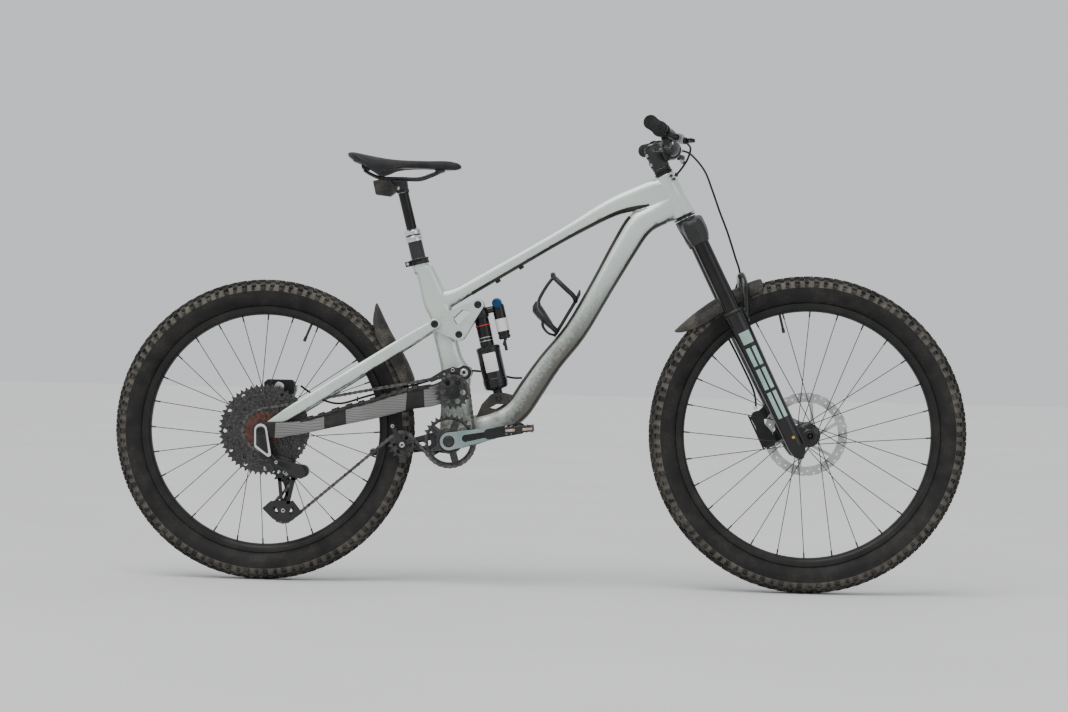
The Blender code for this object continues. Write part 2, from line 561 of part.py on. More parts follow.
def spoked_hub(profile, c, fl, fr, rim_r, count=28):
    """Turned hub with tangential spokes from each flange; crossing spokes lie on either side of the flange."""
    o = V(c[0], 0, c[1])
    hub = lathe(profile, o, (0, 1, 0), 16, ring=True)
    bars = []
    for k in range(count):
        left = k % 2
        lead = (k // 2) % 2
        y0 = (fl if left else fr) + (1.7 if lead else -1.7)
        t = 2 * math.pi * k / count
        t0 = t + (0.62 if lead else -0.62)
        a = o + V(math.cos(t0) * 24, y0, math.sin(t0) * 24)
        b = o + V(math.cos(t) * rim_r, (5 if left else -5), math.sin(t) * rim_r)
        d = (b - a).normalized()
        u, v, w = frame_of(d)
        bars.append(loft([[p + u * 1.4, p - u * 0.7 + v * 1.2, p - u * 0.7 - v * 1.2] for p in (a, b)]))
    bpy.ops.object.select_all(action="DESELECT")
    for b in bars:
        b.select_set(True)
    bpy.context.view_layer.objects.active = bars[0]
    bpy.ops.object.join()
    return union(hub, bars[0])


node("rear_tyre", tyre(TYRE_R_REAR, RIM_IN_REAR, AXLE_R), RUBBER, "rear_wheel")
node("rear_rim", rim(RIM_IN_REAR, AXLE_R), SATIN, "rear_wheel")
node("rear_hub_and_spokes", spoked_hub([(6.5, -22.5), (20, -22.5), (29, -21.5), (29, -15.5), (16, -11), (14, 18), (17, 29), (29.5, 31.5), (29.5, 38), (19, 42), (19, 60), (10, 62), (10, 74), (6.5, 74)],
                                       AXLE_R, 35, -18.5, RIM_IN_REAR - 1.8), BLACK, "rear_wheel")
node("front_tyre", tyre(TYRE_R_FRONT, RIM_IN_FRONT, AXLE_F), RUBBER, "front_wheel")
node("front_rim", rim(RIM_IN_FRONT, AXLE_F), SATIN, "front_wheel")
node("front_hub_and_spokes", spoked_hub([(7.9, -50), (12, -50), (14, -38), (27, -35), (27, -29), (15, -25), (13, 0), (15, 19), (27, 22.5), (27, 28.5), (19, 32), (19, 50), (12, 51.5), (12, 54.6), (7.9, 54.6)],
                                        AXLE_F, 25.5, -32, RIM_IN_FRONT - 1.8), BLACK, "front_wheel")


def rotor(c, r, y, arms=6):
    holes = []
    for k in range(arms):
        t0, t1 = 2 * math.pi * (k + 0.09) / arms, 2 * math.pi * (k + 0.91) / arms
        inner = [(c[0] + 34 * math.cos(t), c[1] + 34 * math.sin(t)) for t in (t0 + 0.16, (t0 + t1) / 2, t1 - 0.16)]
        outer = [(c[0] + (r - 17) * math.cos(t), c[1] + (r - 17) * math.sin(t)) for t in (t1, (t0 + t1) / 2, t0)]
        holes.append(inner + outer)
    return plate(circle(c, r, 28), [circle(c, 20.3, 14)] + holes, y - 1, y + 1)


node("rear_rotor", rotor(AXLE_R, 100, 57.1), STEEL, "rear_wheel")
node("front_rotor", rotor(AXLE_F, 100, 46.5), STEEL, "front_wheel")
cas = [(6.5, -24), (104, -24.6), (107.5, -26.2), (107.5, -27.8), (88, -31), (60, -39.5), (56, -41.4), (30, -41.7), (30, -44.1), (51, -44.3), (51, -45.9), (30, -46.1), (30, -48.2), (41, -48.4), (22, -67.5), (17, -68.5), (17, -73.6), (6.5, -73.6)]
node("cassette", lathe(cas, V(AXLE_R[0], 0, AXLE_R[1]), (0, 1, 0), 20, ring=True), STEEL, "cassette")

# ------------------------------------------------------------------ rear derailleur
par = plate(hull([((-620, 281), 11), ((-566, 266), 13)]), [], -84, -66)
par = union(par, plate(hull([((-566, 262), 17), ((-551, 262), 15)]), [], -84, -60))
node("derailleur_parallelogram", par, BLACK, "derailleur")
cage_out = plate(hull([(GUIDE, 11), (CAGE_PIVOT, 12), ((-585, 215), 8)]), [], -57.5, -55)
cage_low = plate(hull([((-585, 215), 8), (TENSION, 14), ((-622, 165), 8), ((-574, 160), 8)]), [], -57.5, -55)
cage_in = plate(hull([(GUIDE, 9), ((-590, 205), 6)]), [], -36.6, -34.4)
cage_in2 = plate(hull([((-590, 205), 6), (TENSION, 11)]), [], -36.6, -34.4)
pins = [yrod(GUIDE, 4, -56, -35.5, 10), yrod(TENSION, 4, -56, -35.5, 10), yrod(CAGE_PIVOT, 9, -59.5, -55.2, 12)]
node("derailleur_cage", union(cage_out, cage_low, pins[0], pins[1], pins[2], cage_in, cage_in2), SATIN, "derailleur_cage")

# ------------------------------------------------------------------ rocker and shock
TRI = hull([(ROCK, 15), (STAY, 14), (SHOCK_TOP, 14)])
HOLE = [(-209, 617), (-177, 641), (-190, 611)]
plates = [plate(TRI, [HOLE], *sorted((s * 24.4, s * 32.8))) for s in (-1, 1)]
cross = pipe([(-170, -26, 630), (-170, 26, 630)], 4.5, 8)
node("rocker_link", union(plates[0], yrod(ROCK, 6, -26, 26, 12), cross, plates[1]), PAINT, "rocker")

ST, SB = V(SHOCK_TOP[0], 0, SHOCK_TOP[1]), V(SHOCK_LOW[0], 0, SHOCK_LOW[1])
SHD = (SB - ST).normalized()
can = lathe([(23.2, 106), (25.5, 100), (29, 104), (29, 183), (24, 194), (20, 205), (13, 212), (0, 212), (0, 204), (18, 198), (23.2, 186)], ST, SHD, 20, ring=True)
can = union(can, yrod(SHOCK_LOW, 13, -14, 14, 14), rod(ST, SHD, 11, 205, 220, 12))
can = cut(can, yrod(SHOCK_LOW, 5.5, -20, 20, 12))
node("shock_air_can", can, BLACK, "shock_can")
body = lathe([(0, 6), (17, 9), (20, 16), (20, 28), (17, 32), (17, 124), (10, 126), (0, 126)], ST, SHD, 18)
body = union(body, yrod(SHOCK_TOP, 13.5, -23.8, 23.8, 14))
P = SHD
Q = V(-SHD.z, 0, SHD.x)
RES0 = V(-106, -2, 660.8)
res = rod(RES0, SHD, 14.5, -4, 78, 14)
knob = yrod((-108, 668), 11, -24, 6, 12)
arm = pipe([ST + SHD * 16, V(-128, -1, 651), RES0 + SHD * 4], 8, 8)
body = union(body, arm, res, knob)
node("shock_damper", body, BLACK, "shock_damper")

# ------------------------------------------------------------------ fork and cockpit
crown_rings = []
for y, a0, a1, r0, r1 in ((-90, 530, 568, -10, 20), (-84, 516, 576, -18, 29), (-66, 514, 579, -20, 33), (-50, 524, 580, -20, 36), (-33, 553, 581, -24, 37), (-22, 560, 581, -24, 37), (22, 560, 581, -24, 37), (33, 553, 581, -24, 37), (50, 524, 580, -20, 36), (66, 514, 579, -20, 33), (84, 516, 576, -18, 29), (90, 530, 568, -10, 20)):
    crown_rings.append(oval(sp((a0 + a1) / 2, (r0 + r1) / 2, y), SU, SN, (a1 - a0) / 2, (r1 - r0) / 2, 10, 3.4))
crown = loft(crown_rings)
steerer = lathe([(0, 566), (26, 566), (26, 585.9), (14.9, 585.9), (14.9, 774), (0, 774)], S0, SU, 18)
fork = union(crown, steerer)
for s in (-1, 1):
    o = sp(0, LEG_R, s * LEG_Y)
    fork = union(fork, lathe([(0, 170), (19, 170), (19, 508), (21.5, 510), (21.5, 560), (0, 560)], o, SU, 16))
node("fork_crown_and_stanchions", fork, BLACK, "steering")
st = rod(S0, SU, 21, 706.4, 771, 18)
BAR = sp(745, 40)
stem_b = loft([oval(sp(745, r), (0, 1, 0), SU, hw, hh, 10, 3) for r, hw, hh in ((17, 17, 19), (27, 19, 18), (34, 22, 17))])
clampb = yrod((BAR.x, BAR.z), 22.5, -24, 24, 16)
stem = union(st, stem_b, clampb)
stem = cut(stem, yrod((BAR.x, BAR.z), 17.9, -30, 30, 16), rod(S0, SU, 15.3, 690, 780, 18))
node("stem", stem, SATIN, "steering")
END = V(237.5, 392, 1069)
half = [V(BAR.x, 0, BAR.z), V(BAR.x, 45, BAR.z), V(BAR.x - 1, 70, BAR.z + 5), V(BAR.x - 5, 120, BAR.z + 20), V(BAR.x - 10, 160, BAR.z + 25), V(262, 258, 1066), END + (V(262, 258, 1066) - END).normalized() * 6.5]
pts = [V(p.x, -p.y, p.z) for p in reversed(half[1:])] + half
rad = [11, 11, 11.5, 13, 16.5, 17.5, 17.5, 17.5, 16.5, 13, 11.5, 11, 11]
node("handlebar", pipe(pts, rad, 12), SATIN, "steering")
G0, G1 = V(262, 258, 1066), END
for s, nm in ((-1, "right"), (1, "left")):
    a, b = V(G0.x, s * G0.y, G0.z), V(G1.x, s * G1.y, G1.z)
    L = (b - a).length - 4
    d = (b - a).normalized()
    # the outer end plate sits square across the machine, so the grips set the width
    g = lathe([(11.7, 0), (18, 0), (18, 8), (15.5, 10), (15.5, L - 6), (16.5, L - 5), (16.5, L + 1.0), (0, L + 1.0), (0, L - 1.2), (11.7, L - 1.2)], a, d, 14, ring=True)
    node("grip_" + nm, g, RUBBER, "steering")
    # brake body: ring round the bar, cylinder in front of and below it
    def onbar(y):
        t = (y - 160) / 98
        return V(BAR.x - 10 + (262 - BAR.x + 10) * t, s * y, BAR.z + 25 + (1066 - BAR.z - 25) * t)
    c = onbar(222)
    ring = rod(c, d, 16, -7, 7, 14)
    fwd = V(0.90, 0, -0.43)
    foot = loft([[c + fwd * q + V(0, w * 7, 0) + V(0.43, 0, 0.90) * (h * 6) for w, h in ((-1, -1), (1, -1), (1, 1), (-1, 1))] for q in (13, 34)])
    cyl = pipe([onbar(134) + fwd * 30, onbar(185) + fwd * 31, onbar(230) + fwd * 34], [8, 12, 8.5], 10)
    pod = loft([oval(onbar(200) + V(2, s * q, -25.5), (1, 0, 0), (0, 0, 1), w, h, 8, 3) for q, w, h in ((-22, 9, 8), (0, 13, 12), (26, 9, 8))])
    neck = pipe([c + V(0, 0, -8), onbar(210) + V(2, 0, -22)], 6, 8)
    body = union(ring, foot, cyl, neck, pod)
    body = cut(body, rod(c, d, 11.9, -40, 40, 14))
    node("brake_master_" + nm, body, BLACK, "steering")
    pv = onbar(236) + fwd * 53
    pivot("brake_lever_" + nm, pv.x, pv.y, pv.z)
    lever = pipe(smooth([pv + V(2, -s * 12, 0), pv + V(9, -s * 3, 0), pv + V(17, s * 14, -1), pv + V(15, s * 40, -3), pv + V(14, s * 70, -5), pv + V(22, s * 84, -7)], 2), [4, 5, 6, 6, 6, 5, 5, 5, 5, 5, 4.5], 8)
    node("brake_lever_" + nm, lever, BLACK, "brake_lever_" + nm)
    pq = onbar(204) + V(-12, 0, -39)
    pname = "shift_paddle" if s < 0 else "dropper_paddle"
    pivot(pname, pq.x, pq.y, pq.z)
    pad = loft([oval(pq + V(q, s * yy, zz), (1, 0, 0), (0, 0, 1), w, h, 8, 3) for q, yy, zz, w, h in ((4, -16, -3, 5, 2.5), (-4, 4, -5, 9, 3), (-9, 26, -6, 7, 2.5))])
    node(pname, pad, SATIN, pname)

# lowers: two legs, the arch in front, axle lugs and the caliper's tabs
legs = []
for s in (-1, 1):
    o = sp(0, LEG_R, s * LEG_Y)
    leg = lathe([(0, -38), (10, -38), (17, -29), (20.8, -8), (21.2, 40), (22.3, 200), (24.6, 318), (25, 337), (0, 337)], o, SU, 16)
    lug = yrod(AXLE_F, 15, *sorted((s * 55.4, s * 84)), 14)
    f0, f1 = sp(-14, 4), sp(38, 4)
    web = plate(hull([(AXLE_F, 15), ((f0.x, f0.z), 12), ((f1.x, f1.z), 12)]), [], *sorted((s * 57, s * 82)))
    legs.append(union(leg, web, lug))
arch_rings = []
for a, r, y, w, h in ((296, 20, -71, 10, 7), (340, 38, -64, 10, 7), (376, 52, -48, 10, 6), (400, 60, -22, 10, 6), (400, 60, 22, 10, 6), (376, 52, 48, 10, 6), (340, 38, 64, 10, 7), (296, 20, 71, 10, 7)):
    arch_rings.append(oval(sp(a, r, y), V(0, y, 0) + SU * 60, SN, w, h, 8, 3))
tabs = []
for a0 in (22, 86):
    q0, q1, q2 = sp(a0, -42), sp(a0 - 12, -6), sp(a0 + 12, -6)
    tabs.append(plate(hull([((q0.x, q0.z), 8), ((q1.x, q1.z), 8), ((q2.x, q2.z), 8)]), [], 58.2, 68))
low = union(legs[0], loft(arch_rings), legs[1], tabs[0], tabs[1])
o = sp(0, LEG_R, LEG_Y)
low = cut(low, yrod(AXLE_F, 7.9, -100, 100, 14), rod(sp(0, LEG_R, LEG_Y), SU, 19.4, -6, 400, 16), rod(sp(0, LEG_R, -LEG_Y), SU, 19.4, -6, 400, 16))
node("fork_lowers", low, BLACK, "fork_lowers")
node("front_axle", union(yrod(AXLE_F, 7.5, -88, 88, 12), yrod(AXLE_F, 10, 88.4, 92, 12), yrod(AXLE_F, 7.5, 80, 90, 12)), DARKMETAL, "fork_lowers")
cal = plate([(p.x, p.z) for p in (sp(4, -58), sp(10, -64), (sp(98, -62)), sp(104, -54), sp(104, -30), sp(96, -25), sp(14, -25), sp(4, -32))], [], 33, 57.6)
cal = cut(cal, yrod(AXLE_F, 102.5, 44.2, 48.8, 28))
node("front_brake_caliper", cal, SATIN, "fork_lowers")

# front mudguard over the tyre, behind the arch
rings = []
for k in range(9):
    t = math.radians(84 + 62 * k / 8)
    d = V(math.cos(t), 0, math.sin(t))
    c = V(AXLE_F[0], 0, AXLE_F[1])
    rr = TYRE_R_FRONT + 9
    half = 29 - 4 * (k / 8) ** 2
    rings.append([c + d * (rr - 4) + V(0, -half, 0), c + d * (rr + 3) + V(0, -half * 0.55, 0), c + d * (rr + 3) + V(0, half * 0.55, 0), c + d * (rr - 4) + V(0, half, 0),
                  c + d * (rr - 6) + V(0, half - 1.2, 0), c + d * rr + V(0, half * 0.5, 0), c + d * rr + V(0, -half * 0.5, 0), c + d * (rr - 6) + V(0, -half + 1.2, 0)])
node("front_mudguard", loft(rings), RUBBER, "fork_lowers")

# ------------------------------------------------------------------ seat post and saddle
post = lathe([(0, 30), (12.6, 30), (12.6, 166), (15, 168), (15, 176), (0, 176)], seat(0), DU, 18)
headp = loft([oval(c, (1, 0, 0), (0, 1, 0), w, h, 10, 3) for c, w, h in ((V(-338, 0, 926), 17, 15), (V(-345, 0, 942), 20, 20), (V(-347, 0, 953), 20, 27))])
batt = prism([(-378, 917), (-362, 913), (-352, 940), (-366, 952), (-374, 948)], [], V(0, 0, 0), (1, 0, 0), (0, 0, 1), (0, 1, 0), -16, 16)
node("dropper_stanchion_and_head", union(post, headp, batt), BLACK, "dropper")
rails = []
for s in (-1, 1):
    rails.append(pipe(smooth([V(-430, s * 22, 973), V(-405, s * 22, 963), V(-380, s * 22, 957.2), V(-300, s * 22, 957.5), V(-270, s * 18, 968), V(-252, s * 12, 974.5)], 1), 3.5, 6))
cross1 = pipe([(-430, -24, 973), (-430, 24, 973)], 3.5, 8)
cross2 = pipe([(-252, -14, 974.5), (-252, 14, 974.5)], 3.5, 8)
node("saddle_rails", union(rails[0], cross1, rails[1], cross2), DARKMETAL, "dropper")
secs = [(-470, 1013, 1016, 14), (-462, 1000, 1017.5, 45), (-440, 993, 1015, 66), (-405, 985, 1009.5, 71), (-370, 984, 1004, 60), (-330, 985, 1001.5, 42), (-290, 985, 1001.5, 30), (-240, 983, 1002.5, 22), (-212, 983, 998, 19), (-201, 984, 991, 9)]
node("saddle", loft([oval(V(x, 0, (z0 + z1) / 2), (0, 1, 0), (0, 0, 1), w, (z1 - z0) / 2, 14, 2.6) for x, z0, z1, w in secs]), RUBBER, "dropper")

# ------------------------------------------------------------------ cranks and pedals
def crank(sgn, inner, spindle):
    d = V(CRANK_DIR[0] * sgn, 0, CRANK_DIR[1] * sgn)
    end = (CRANK[0] + d.x * CRANK_LEN, CRANK[1] + d.z * CRANK_LEN)
    y0, y1 = sorted((inner, inner + math.copysign(15, inner)))
    nrm = (-d.z, d.x)
    def q(t, h):
        return (CRANK[0] + d.x * t + nrm[0] * h, CRANK[1] + d.z * t + nrm[1] * h)
    arm = plate(hull([(CRANK, 21), (end, 13)], 16), [[q(32, -8), q(92, -8), q(92, 8), q(32, 8)]], y0, y1)
    return arm, end, y0, y1


arm, PR, y0, y1 = crank(1, -64, True)
arm = union(arm, yrod(CRANK, 14, -70, 62.5, 16), yrod(CRANK, 19, -66, -55, 16))
arm = cut(arm, yrod(PR, 7.2, -90, -50, 12))
node("crank_right", arm, SATIN, "crank")
arm, PL, y0, y1 = crank(-1, 63.2, False)
arm = cut(arm, yrod(PL, 7.2, 50, 90, 12))
arm = union(arm, yrod(CRANK, 18, 62.9, 66, 14))
node("crank_left", arm, SATIN, "crank")
for nm, c, s in (("right", PR, -1), ("left", PL, 1)):
    pivot("pedal_" + nm, c[0], 0, c[1])
    axle = yrod(c, 6.6, *sorted((s * 65, s * 90)), 12)
    barrel = yrod(c, 9, *sorted((s * 84, s * 186)), 12)
    ya, yb = sorted((s * 86, s * 184))
    plat = prism([(-30, ya), (30, ya), (34, ya + 12), (34, yb - 12), (30, yb), (-30, yb), (-34, yb - 12), (-34, ya + 12)],
                 [[(12, ya + 10), (26, ya + 14), (26, yb - 14), (12, yb - 10)], [(-26, ya + 14), (-12, ya + 10), (-12, yb - 10), (-26, yb - 14)]],
                 V(c[0], 0, c[1]), (math.cos(0.1), 0, math.sin(0.1)), (0, 1, 0), (-math.sin(0.1), 0, math.cos(0.1)), -8, 8)
    node("pedal_" + nm, union(axle, barrel, plat), BLACK, "pedal_" + nm)

# ------------------------------------------------------------------ brake hoses
node("rear_brake_hose_front", pipe(smooth([(321, -125, 1050), (332, -104, 1045), (338, -80, 1036), (332, -52, 1014), (318, -36, 992), (307, -30, 978)], 3), 2.5, 6), RUBBER, "steering")
node("front_brake_hose", pipe(smooth([V(321, 125, 1050), V(345, 108, 1040), V(378, 84, 1000), V(398, 66, 950), V(416, 56, 900), V(436, 54, 850), V(455, 60, 795), sp(412, 66, 68),
                                      sp(385, 44, 94), sp(352, 12, 103), sp(325, -14, 97), sp(296, -23, 80), sp(240, -22, 71.5), sp(160, -21.5, 71.5), sp(128, -27, 62), sp(107.5, -36, 50)], 2), 2.5, 6), RUBBER, "fork_lowers")
node("rear_brake_hose_rear", pipe(smooth([(-46, 40, 492), (-70, 43, 492), (-110, 47, 500), (-160, 49, 506), (-205, 50, 502), (-245, 52, 488), (-300, 58, 470), (-360, 58, 456), (-420, 58, 438),
                                          (-480, 58, 420), (-525, 59.5, 428), (-560, 58, 448), (-577, 58, 460)], 2), 2.5, 6), RUBBER, "swingarm")
bpy.context.view_layer.update()
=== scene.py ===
import bpy, bmesh, math, random
from mathutils import Vector, Matrix
from mathutils.geometry import tessellate_polygon


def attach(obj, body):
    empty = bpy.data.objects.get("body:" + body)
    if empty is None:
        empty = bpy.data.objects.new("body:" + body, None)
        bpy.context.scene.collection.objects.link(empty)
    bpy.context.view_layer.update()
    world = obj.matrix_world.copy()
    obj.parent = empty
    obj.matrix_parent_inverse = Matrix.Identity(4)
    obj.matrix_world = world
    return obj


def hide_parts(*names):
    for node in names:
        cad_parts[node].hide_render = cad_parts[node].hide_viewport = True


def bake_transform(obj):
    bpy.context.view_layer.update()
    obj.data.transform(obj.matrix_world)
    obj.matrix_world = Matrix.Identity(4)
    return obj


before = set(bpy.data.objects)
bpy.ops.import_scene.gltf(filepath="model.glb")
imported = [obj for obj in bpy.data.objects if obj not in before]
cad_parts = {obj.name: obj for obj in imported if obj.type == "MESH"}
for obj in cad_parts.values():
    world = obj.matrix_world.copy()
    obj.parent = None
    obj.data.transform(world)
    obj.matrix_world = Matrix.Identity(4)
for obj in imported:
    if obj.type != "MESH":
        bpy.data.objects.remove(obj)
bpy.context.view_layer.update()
MM = 0.001
AXLE_R, AXLE_F = (-651.5, 355.5), (632.5, 374.5)
TR, TF, RIMR, RIMF = 355.5, 374.5, 272.0, 291.0
CRANK, MAIN, STAY, ROCK = (-210.5, 340.0), (-180.5, 502.0), (-252.7, 614.5), (-195.6, 591.6)
SHOCK_TOP, SHOCK_LOW = (-152.4, 662.8), (-98.0, 442.5)
IDLER, LOW_IDLER, GUIDE, TENSION, CAGE = (-205.5, 455.5), (-321.5, 328.6), (-596.0, 257.5), (-598.0, 167.0), (-561.0, 268.0)
STEER_O, STEER_U = (593.1, 354.9), (-0.4462, 0.8949)
SEAT_O, SEAT_U = (-294.8, 761.3), (-0.2521, 0.9677)
CA = math.radians(11.8)
CD = (math.cos(CA), math.sin(CA))
CHAIN_Y, COG_Y = -51.0, -45.1


def V(x, y, z):
    return Vector((x, y, z))


def sp(a, r, y=0.0):
    return V(STEER_O[0] + STEER_U[0] * a + STEER_U[1] * r, y, STEER_O[1] + STEER_U[1] * a - STEER_U[0] * r)


def seat(s, r=0.0, y=0.0):
    return V(SEAT_O[0] + SEAT_U[0] * s + SEAT_U[1] * r, y, SEAT_O[1] + SEAT_U[1] * s - SEAT_U[0] * r)


SU, SN, DU = V(STEER_U[0], 0, STEER_U[1]), V(STEER_U[1], 0, -STEER_U[0]), V(SEAT_U[0], 0, SEAT_U[1])
YA = (0, 1, 0)


# ---------------------------------------------------------------- materials
def surface(name, c1, c2, rough=(0.3, 0.5), metal=0.0, scale=18.0, bump=0.0, bump_scale=400.0, coat=0.0, dust=0.0, dust_rgb=(0.20, 0.165, 0.125), low=None, painted_under_shade=0.0, rings=False, splash=False):
    m = bpy.data.materials.new(name)
    m.use_nodes = True
    t = m.node_tree
    b = t.nodes["Principled BSDF"]
    b.inputs["Metallic"].default_value = metal
    b.inputs["Coat Weight"].default_value = coat
    b.inputs["Coat Roughness"].default_value = 0.12
    if metal == 0.0 and max(c2) < 0.08:
        b.inputs["Specular IOR Level"].default_value = 0.22
    co = t.nodes.new("ShaderNodeTexCoord")

    def noise(s, d=4.0):
        n = t.nodes.new("ShaderNodeTexNoise")
        n.inputs["Scale"].default_value = s
        n.inputs["Detail"].default_value = d
        t.links.new(co.outputs["Object"], n.inputs["Vector"])
        return n.outputs["Fac"]

    def remap(src, a, z, lo=0.0, hi=1.0):
        r = t.nodes.new("ShaderNodeMapRange")
        r.inputs["From Min"].default_value, r.inputs["From Max"].default_value = a, z
        r.inputs["To Min"].default_value, r.inputs["To Max"].default_value = lo, hi
        t.links.new(src, r.inputs["Value"])
        return r.outputs["Result"]

    def mixc(f, a, z):
        x = t.nodes.new("ShaderNodeMix")
        x.data_type = "RGBA"
        t.links.new(f, x.inputs["Factor"])
        for sock, v in ((x.inputs[6], a), (x.inputs[7], z)):
            if isinstance(v, tuple):
                sock.default_value = (*v, 1)
            else:
                t.links.new(v, sock)
        return x.outputs[2]

    def math_(op, a, z):
        x = t.nodes.new("ShaderNodeMath")
        x.operation = op
        for sock, v in zip(x.inputs, (a, z)):
            if isinstance(v, float):
                sock.default_value = v
            else:
                t.links.new(v, sock)
        return x.outputs[0]

    col = mixc(remap(noise(scale), 0.35, 0.65), c1, c2)
    rg = remap(noise(scale * 3.1), 0.3, 0.7, rough[0], rough[1])
    if rings:
        wv = t.nodes.new("ShaderNodeTexWave")
        wv.wave_type = "BANDS"
        wv.bands_direction = "Z"
        wv.inputs["Scale"].default_value = 52.0
        wv.inputs["Distortion"].default_value = 9.0
        wv.inputs["Detail"].default_value = 1.0
        wv.inputs["Detail Scale"].default_value = 0.35
        t.links.new(co.outputs["Object"], wv.inputs["Vector"])
        col = mixc(remap(wv.outputs["Fac"], 0.0, 0.22, 0.75, 0.0), col, (0.04, 0.04, 0.039))
    if dust:
        f = remap(noise(26.0, 8.0), 0.42, 0.72, 0.0, dust)
        fine = remap(noise(190.0, 6.0), 0.3, 0.62, 0.15, 1.0)
        f = math_("MULTIPLY", f, fine)
        if low:
            sx = t.nodes.new("ShaderNodeSeparateXYZ")
            t.links.new(co.outputs["Object"], sx.inputs[0])
            lf = remap(sx.outputs["Z"], low[1], low[0])
            t.links.new(math_("ADD", sx.outputs["Z"], remap(noise(11.0, 5.0), 0.3, 0.7, -0.05, 0.05)), lf.node.inputs["Value"])
            f = math_("MULTIPLY", lf, math_("ADD", f, 0.45))
        if splash:
            # dirt thrown up along the underside of the lower tube, fading out towards the head
            sp_ = t.nodes.new("ShaderNodeSeparateXYZ")
            t.links.new(co.outputs["Object"], sp_.inputs[0])
            g = math_("SUBTRACT", math_("MULTIPLY", sp_.outputs["X"], 0.82), math_("MULTIPLY", sp_.outputs["Z"], 0.57))
            g = math_("ADD", g, remap(noise(150.0, 8.0), 0.3, 0.7, -0.008, 0.008))
            m2 = math_("MULTIPLY", remap(g, -0.322, -0.274), remap(sp_.outputs["Z"], 0.86, 0.56))
            f = math_("MAXIMUM", f, math_("MULTIPLY", m2, 0.92))
        col = mixc(f, col, dust_rgb)
        rg = math_("MAXIMUM", rg, remap(f, 0.0, 0.5, 0.0, 0.75))
    # painted shade: faces that point down are darkened towards near-black, as if in shadow
    if painted_under_shade:
        sn = t.nodes.new("ShaderNodeSeparateXYZ")
        t.links.new(co.outputs["Normal"], sn.inputs[0])
        edge = math_("ADD", sn.outputs["Z"], remap(noise(60.0, 6.0), 0.3, 0.7, -0.22, 0.22))
        u = math_("MULTIPLY", remap(edge, -0.42, -0.72), painted_under_shade)
        col = mixc(u, col, (0.035, 0.034, 0.031))
        rg = math_("MAXIMUM", rg, remap(u, 0.0, 1.0, 0.0, 0.6))
    t.links.new(col, b.inputs["Base Color"])
    t.links.new(rg, b.inputs["Roughness"])
    if bump:
        n = t.nodes.new("ShaderNodeBump")
        n.inputs["Strength"].default_value = bump
        n.inputs["Distance"].default_value = 0.0006
        t.links.new(noise(bump_scale), n.inputs["Height"])
        t.links.new(n.outputs["Normal"], b.inputs["Normal"])
    return m


# both frame paints get painted shade on their down-facing faces from their last setting
PAINT = surface("pearl_paint", (0.62, 0.69, 0.635), (0.56, 0.635, 0.585), (0.2, 0.3), 0.35, 5, 0.05, 1400, coat=0.6, dust=0.75, dust_rgb=(0.085, 0.075, 0.06), low=(0.36, 0.56), painted_under_shade=0.95, splash=True)
PAINT2 = surface("stay_paint", (0.60, 0.67, 0.615), (0.53, 0.60, 0.555), (0.22, 0.34), 0.3, 7, 0.05, 1400, coat=0.5, dust=0.25, dust_rgb=(0.16, 0.14, 0.11), painted_under_shade=0.9)
DARKP = surface("dark_underside", (0.012, 0.012, 0.012), (0.03, 0.028, 0.025), (0.4, 0.6), 0.0, 8, 0.2, 900, coat=0.1, dust=0.6, dust_rgb=(0.10, 0.085, 0.065))
GREY = surface("grey_panel", (0.15, 0.15, 0.148), (0.20, 0.198, 0.195), (0.32, 0.45), 0.2, 9, 0.05, 1200, coat=0.3, dust=0.4)
WOOD = surface("contour_panel", (0.17, 0.168, 0.165), (0.22, 0.218, 0.214), (0.34, 0.46), 0.15, 9, 0.05, 1200, coat=0.2, dust=0.3, dust_rgb=(0.11, 0.10, 0.08), rings=True)
GLOSS = surface("black_gloss", (0.005, 0.005, 0.0055), (0.009, 0.009, 0.0095), (0.18, 0.3), 0.0, 10, 0.03, 1500, coat=0.35, dust=0.08, dust_rgb=(0.07, 0.06, 0.05))
SATIN = surface("black_satin", (0.009, 0.009, 0.0095), (0.016, 0.016, 0.0165), (0.36, 0.5), 0.1, 14, 0.08, 1500, dust=0.12, dust_rgb=(0.08, 0.07, 0.055))
ANOD = surface("black_anodised", (0.014, 0.014, 0.015), (0.028, 0.028, 0.030), (0.26, 0.4), 0.6, 22, 0.05, 1800, dust=0.1, dust_rgb=(0.08, 0.07, 0.055))
RIMM = surface("rim_black", (0.010, 0.010, 0.010), (0.016, 0.016, 0.0155), (0.3, 0.45), 0.0, 12, 0.06, 1300, dust=0.2, dust_rgb=(0.09, 0.08, 0.065))
MUDT = surface("tread_dirt", (0.06, 0.056, 0.048), (0.12, 0.11, 0.095), (0.85, 0.98), 0.0, 40, 0.6, 700, dust=0.6, dust_rgb=(0.17, 0.155, 0.13))
RUBBER = surface("tyre_rubber", (0.011, 0.011, 0.011), (0.017, 0.0165, 0.016), (0.55, 0.75), 0.0, 9, 0.3, 900, dust=0.28, dust_rgb=(0.09, 0.08, 0.065))
KNOB = surface("tyre_knobs", (0.018, 0.0175, 0.017), (0.034, 0.032, 0.029), (0.7, 0.9), 0.0, 45, 0.4, 900, dust=0.55, dust_rgb=(0.16, 0.145, 0.12))
GRIP = surface("grip_rubber", (0.010, 0.010, 0.010), (0.018, 0.018, 0.018), (0.6, 0.8), 0.0, 40, 0.4, 1600, dust=0.1)
LEATHER = surface("saddle_cover", (0.012, 0.012, 0.013), (0.019, 0.019, 0.020), (0.42, 0.58), 0.0, 16, 0.35, 2200, dust=0.12)
SHELL = surface("saddle_shell", (0.02, 0.02, 0.021), (0.035, 0.035, 0.035), (0.3, 0.5), 0.0, 16, 0.1, 1500, dust=0.3)
MUDP = surface("mudguard_plastic", (0.022, 0.021, 0.020), (0.04, 0.038, 0.035), (0.5, 0.75), 0.0, 14, 0.3, 900, dust=0.9, dust_rgb=(0.15, 0.135, 0.11))
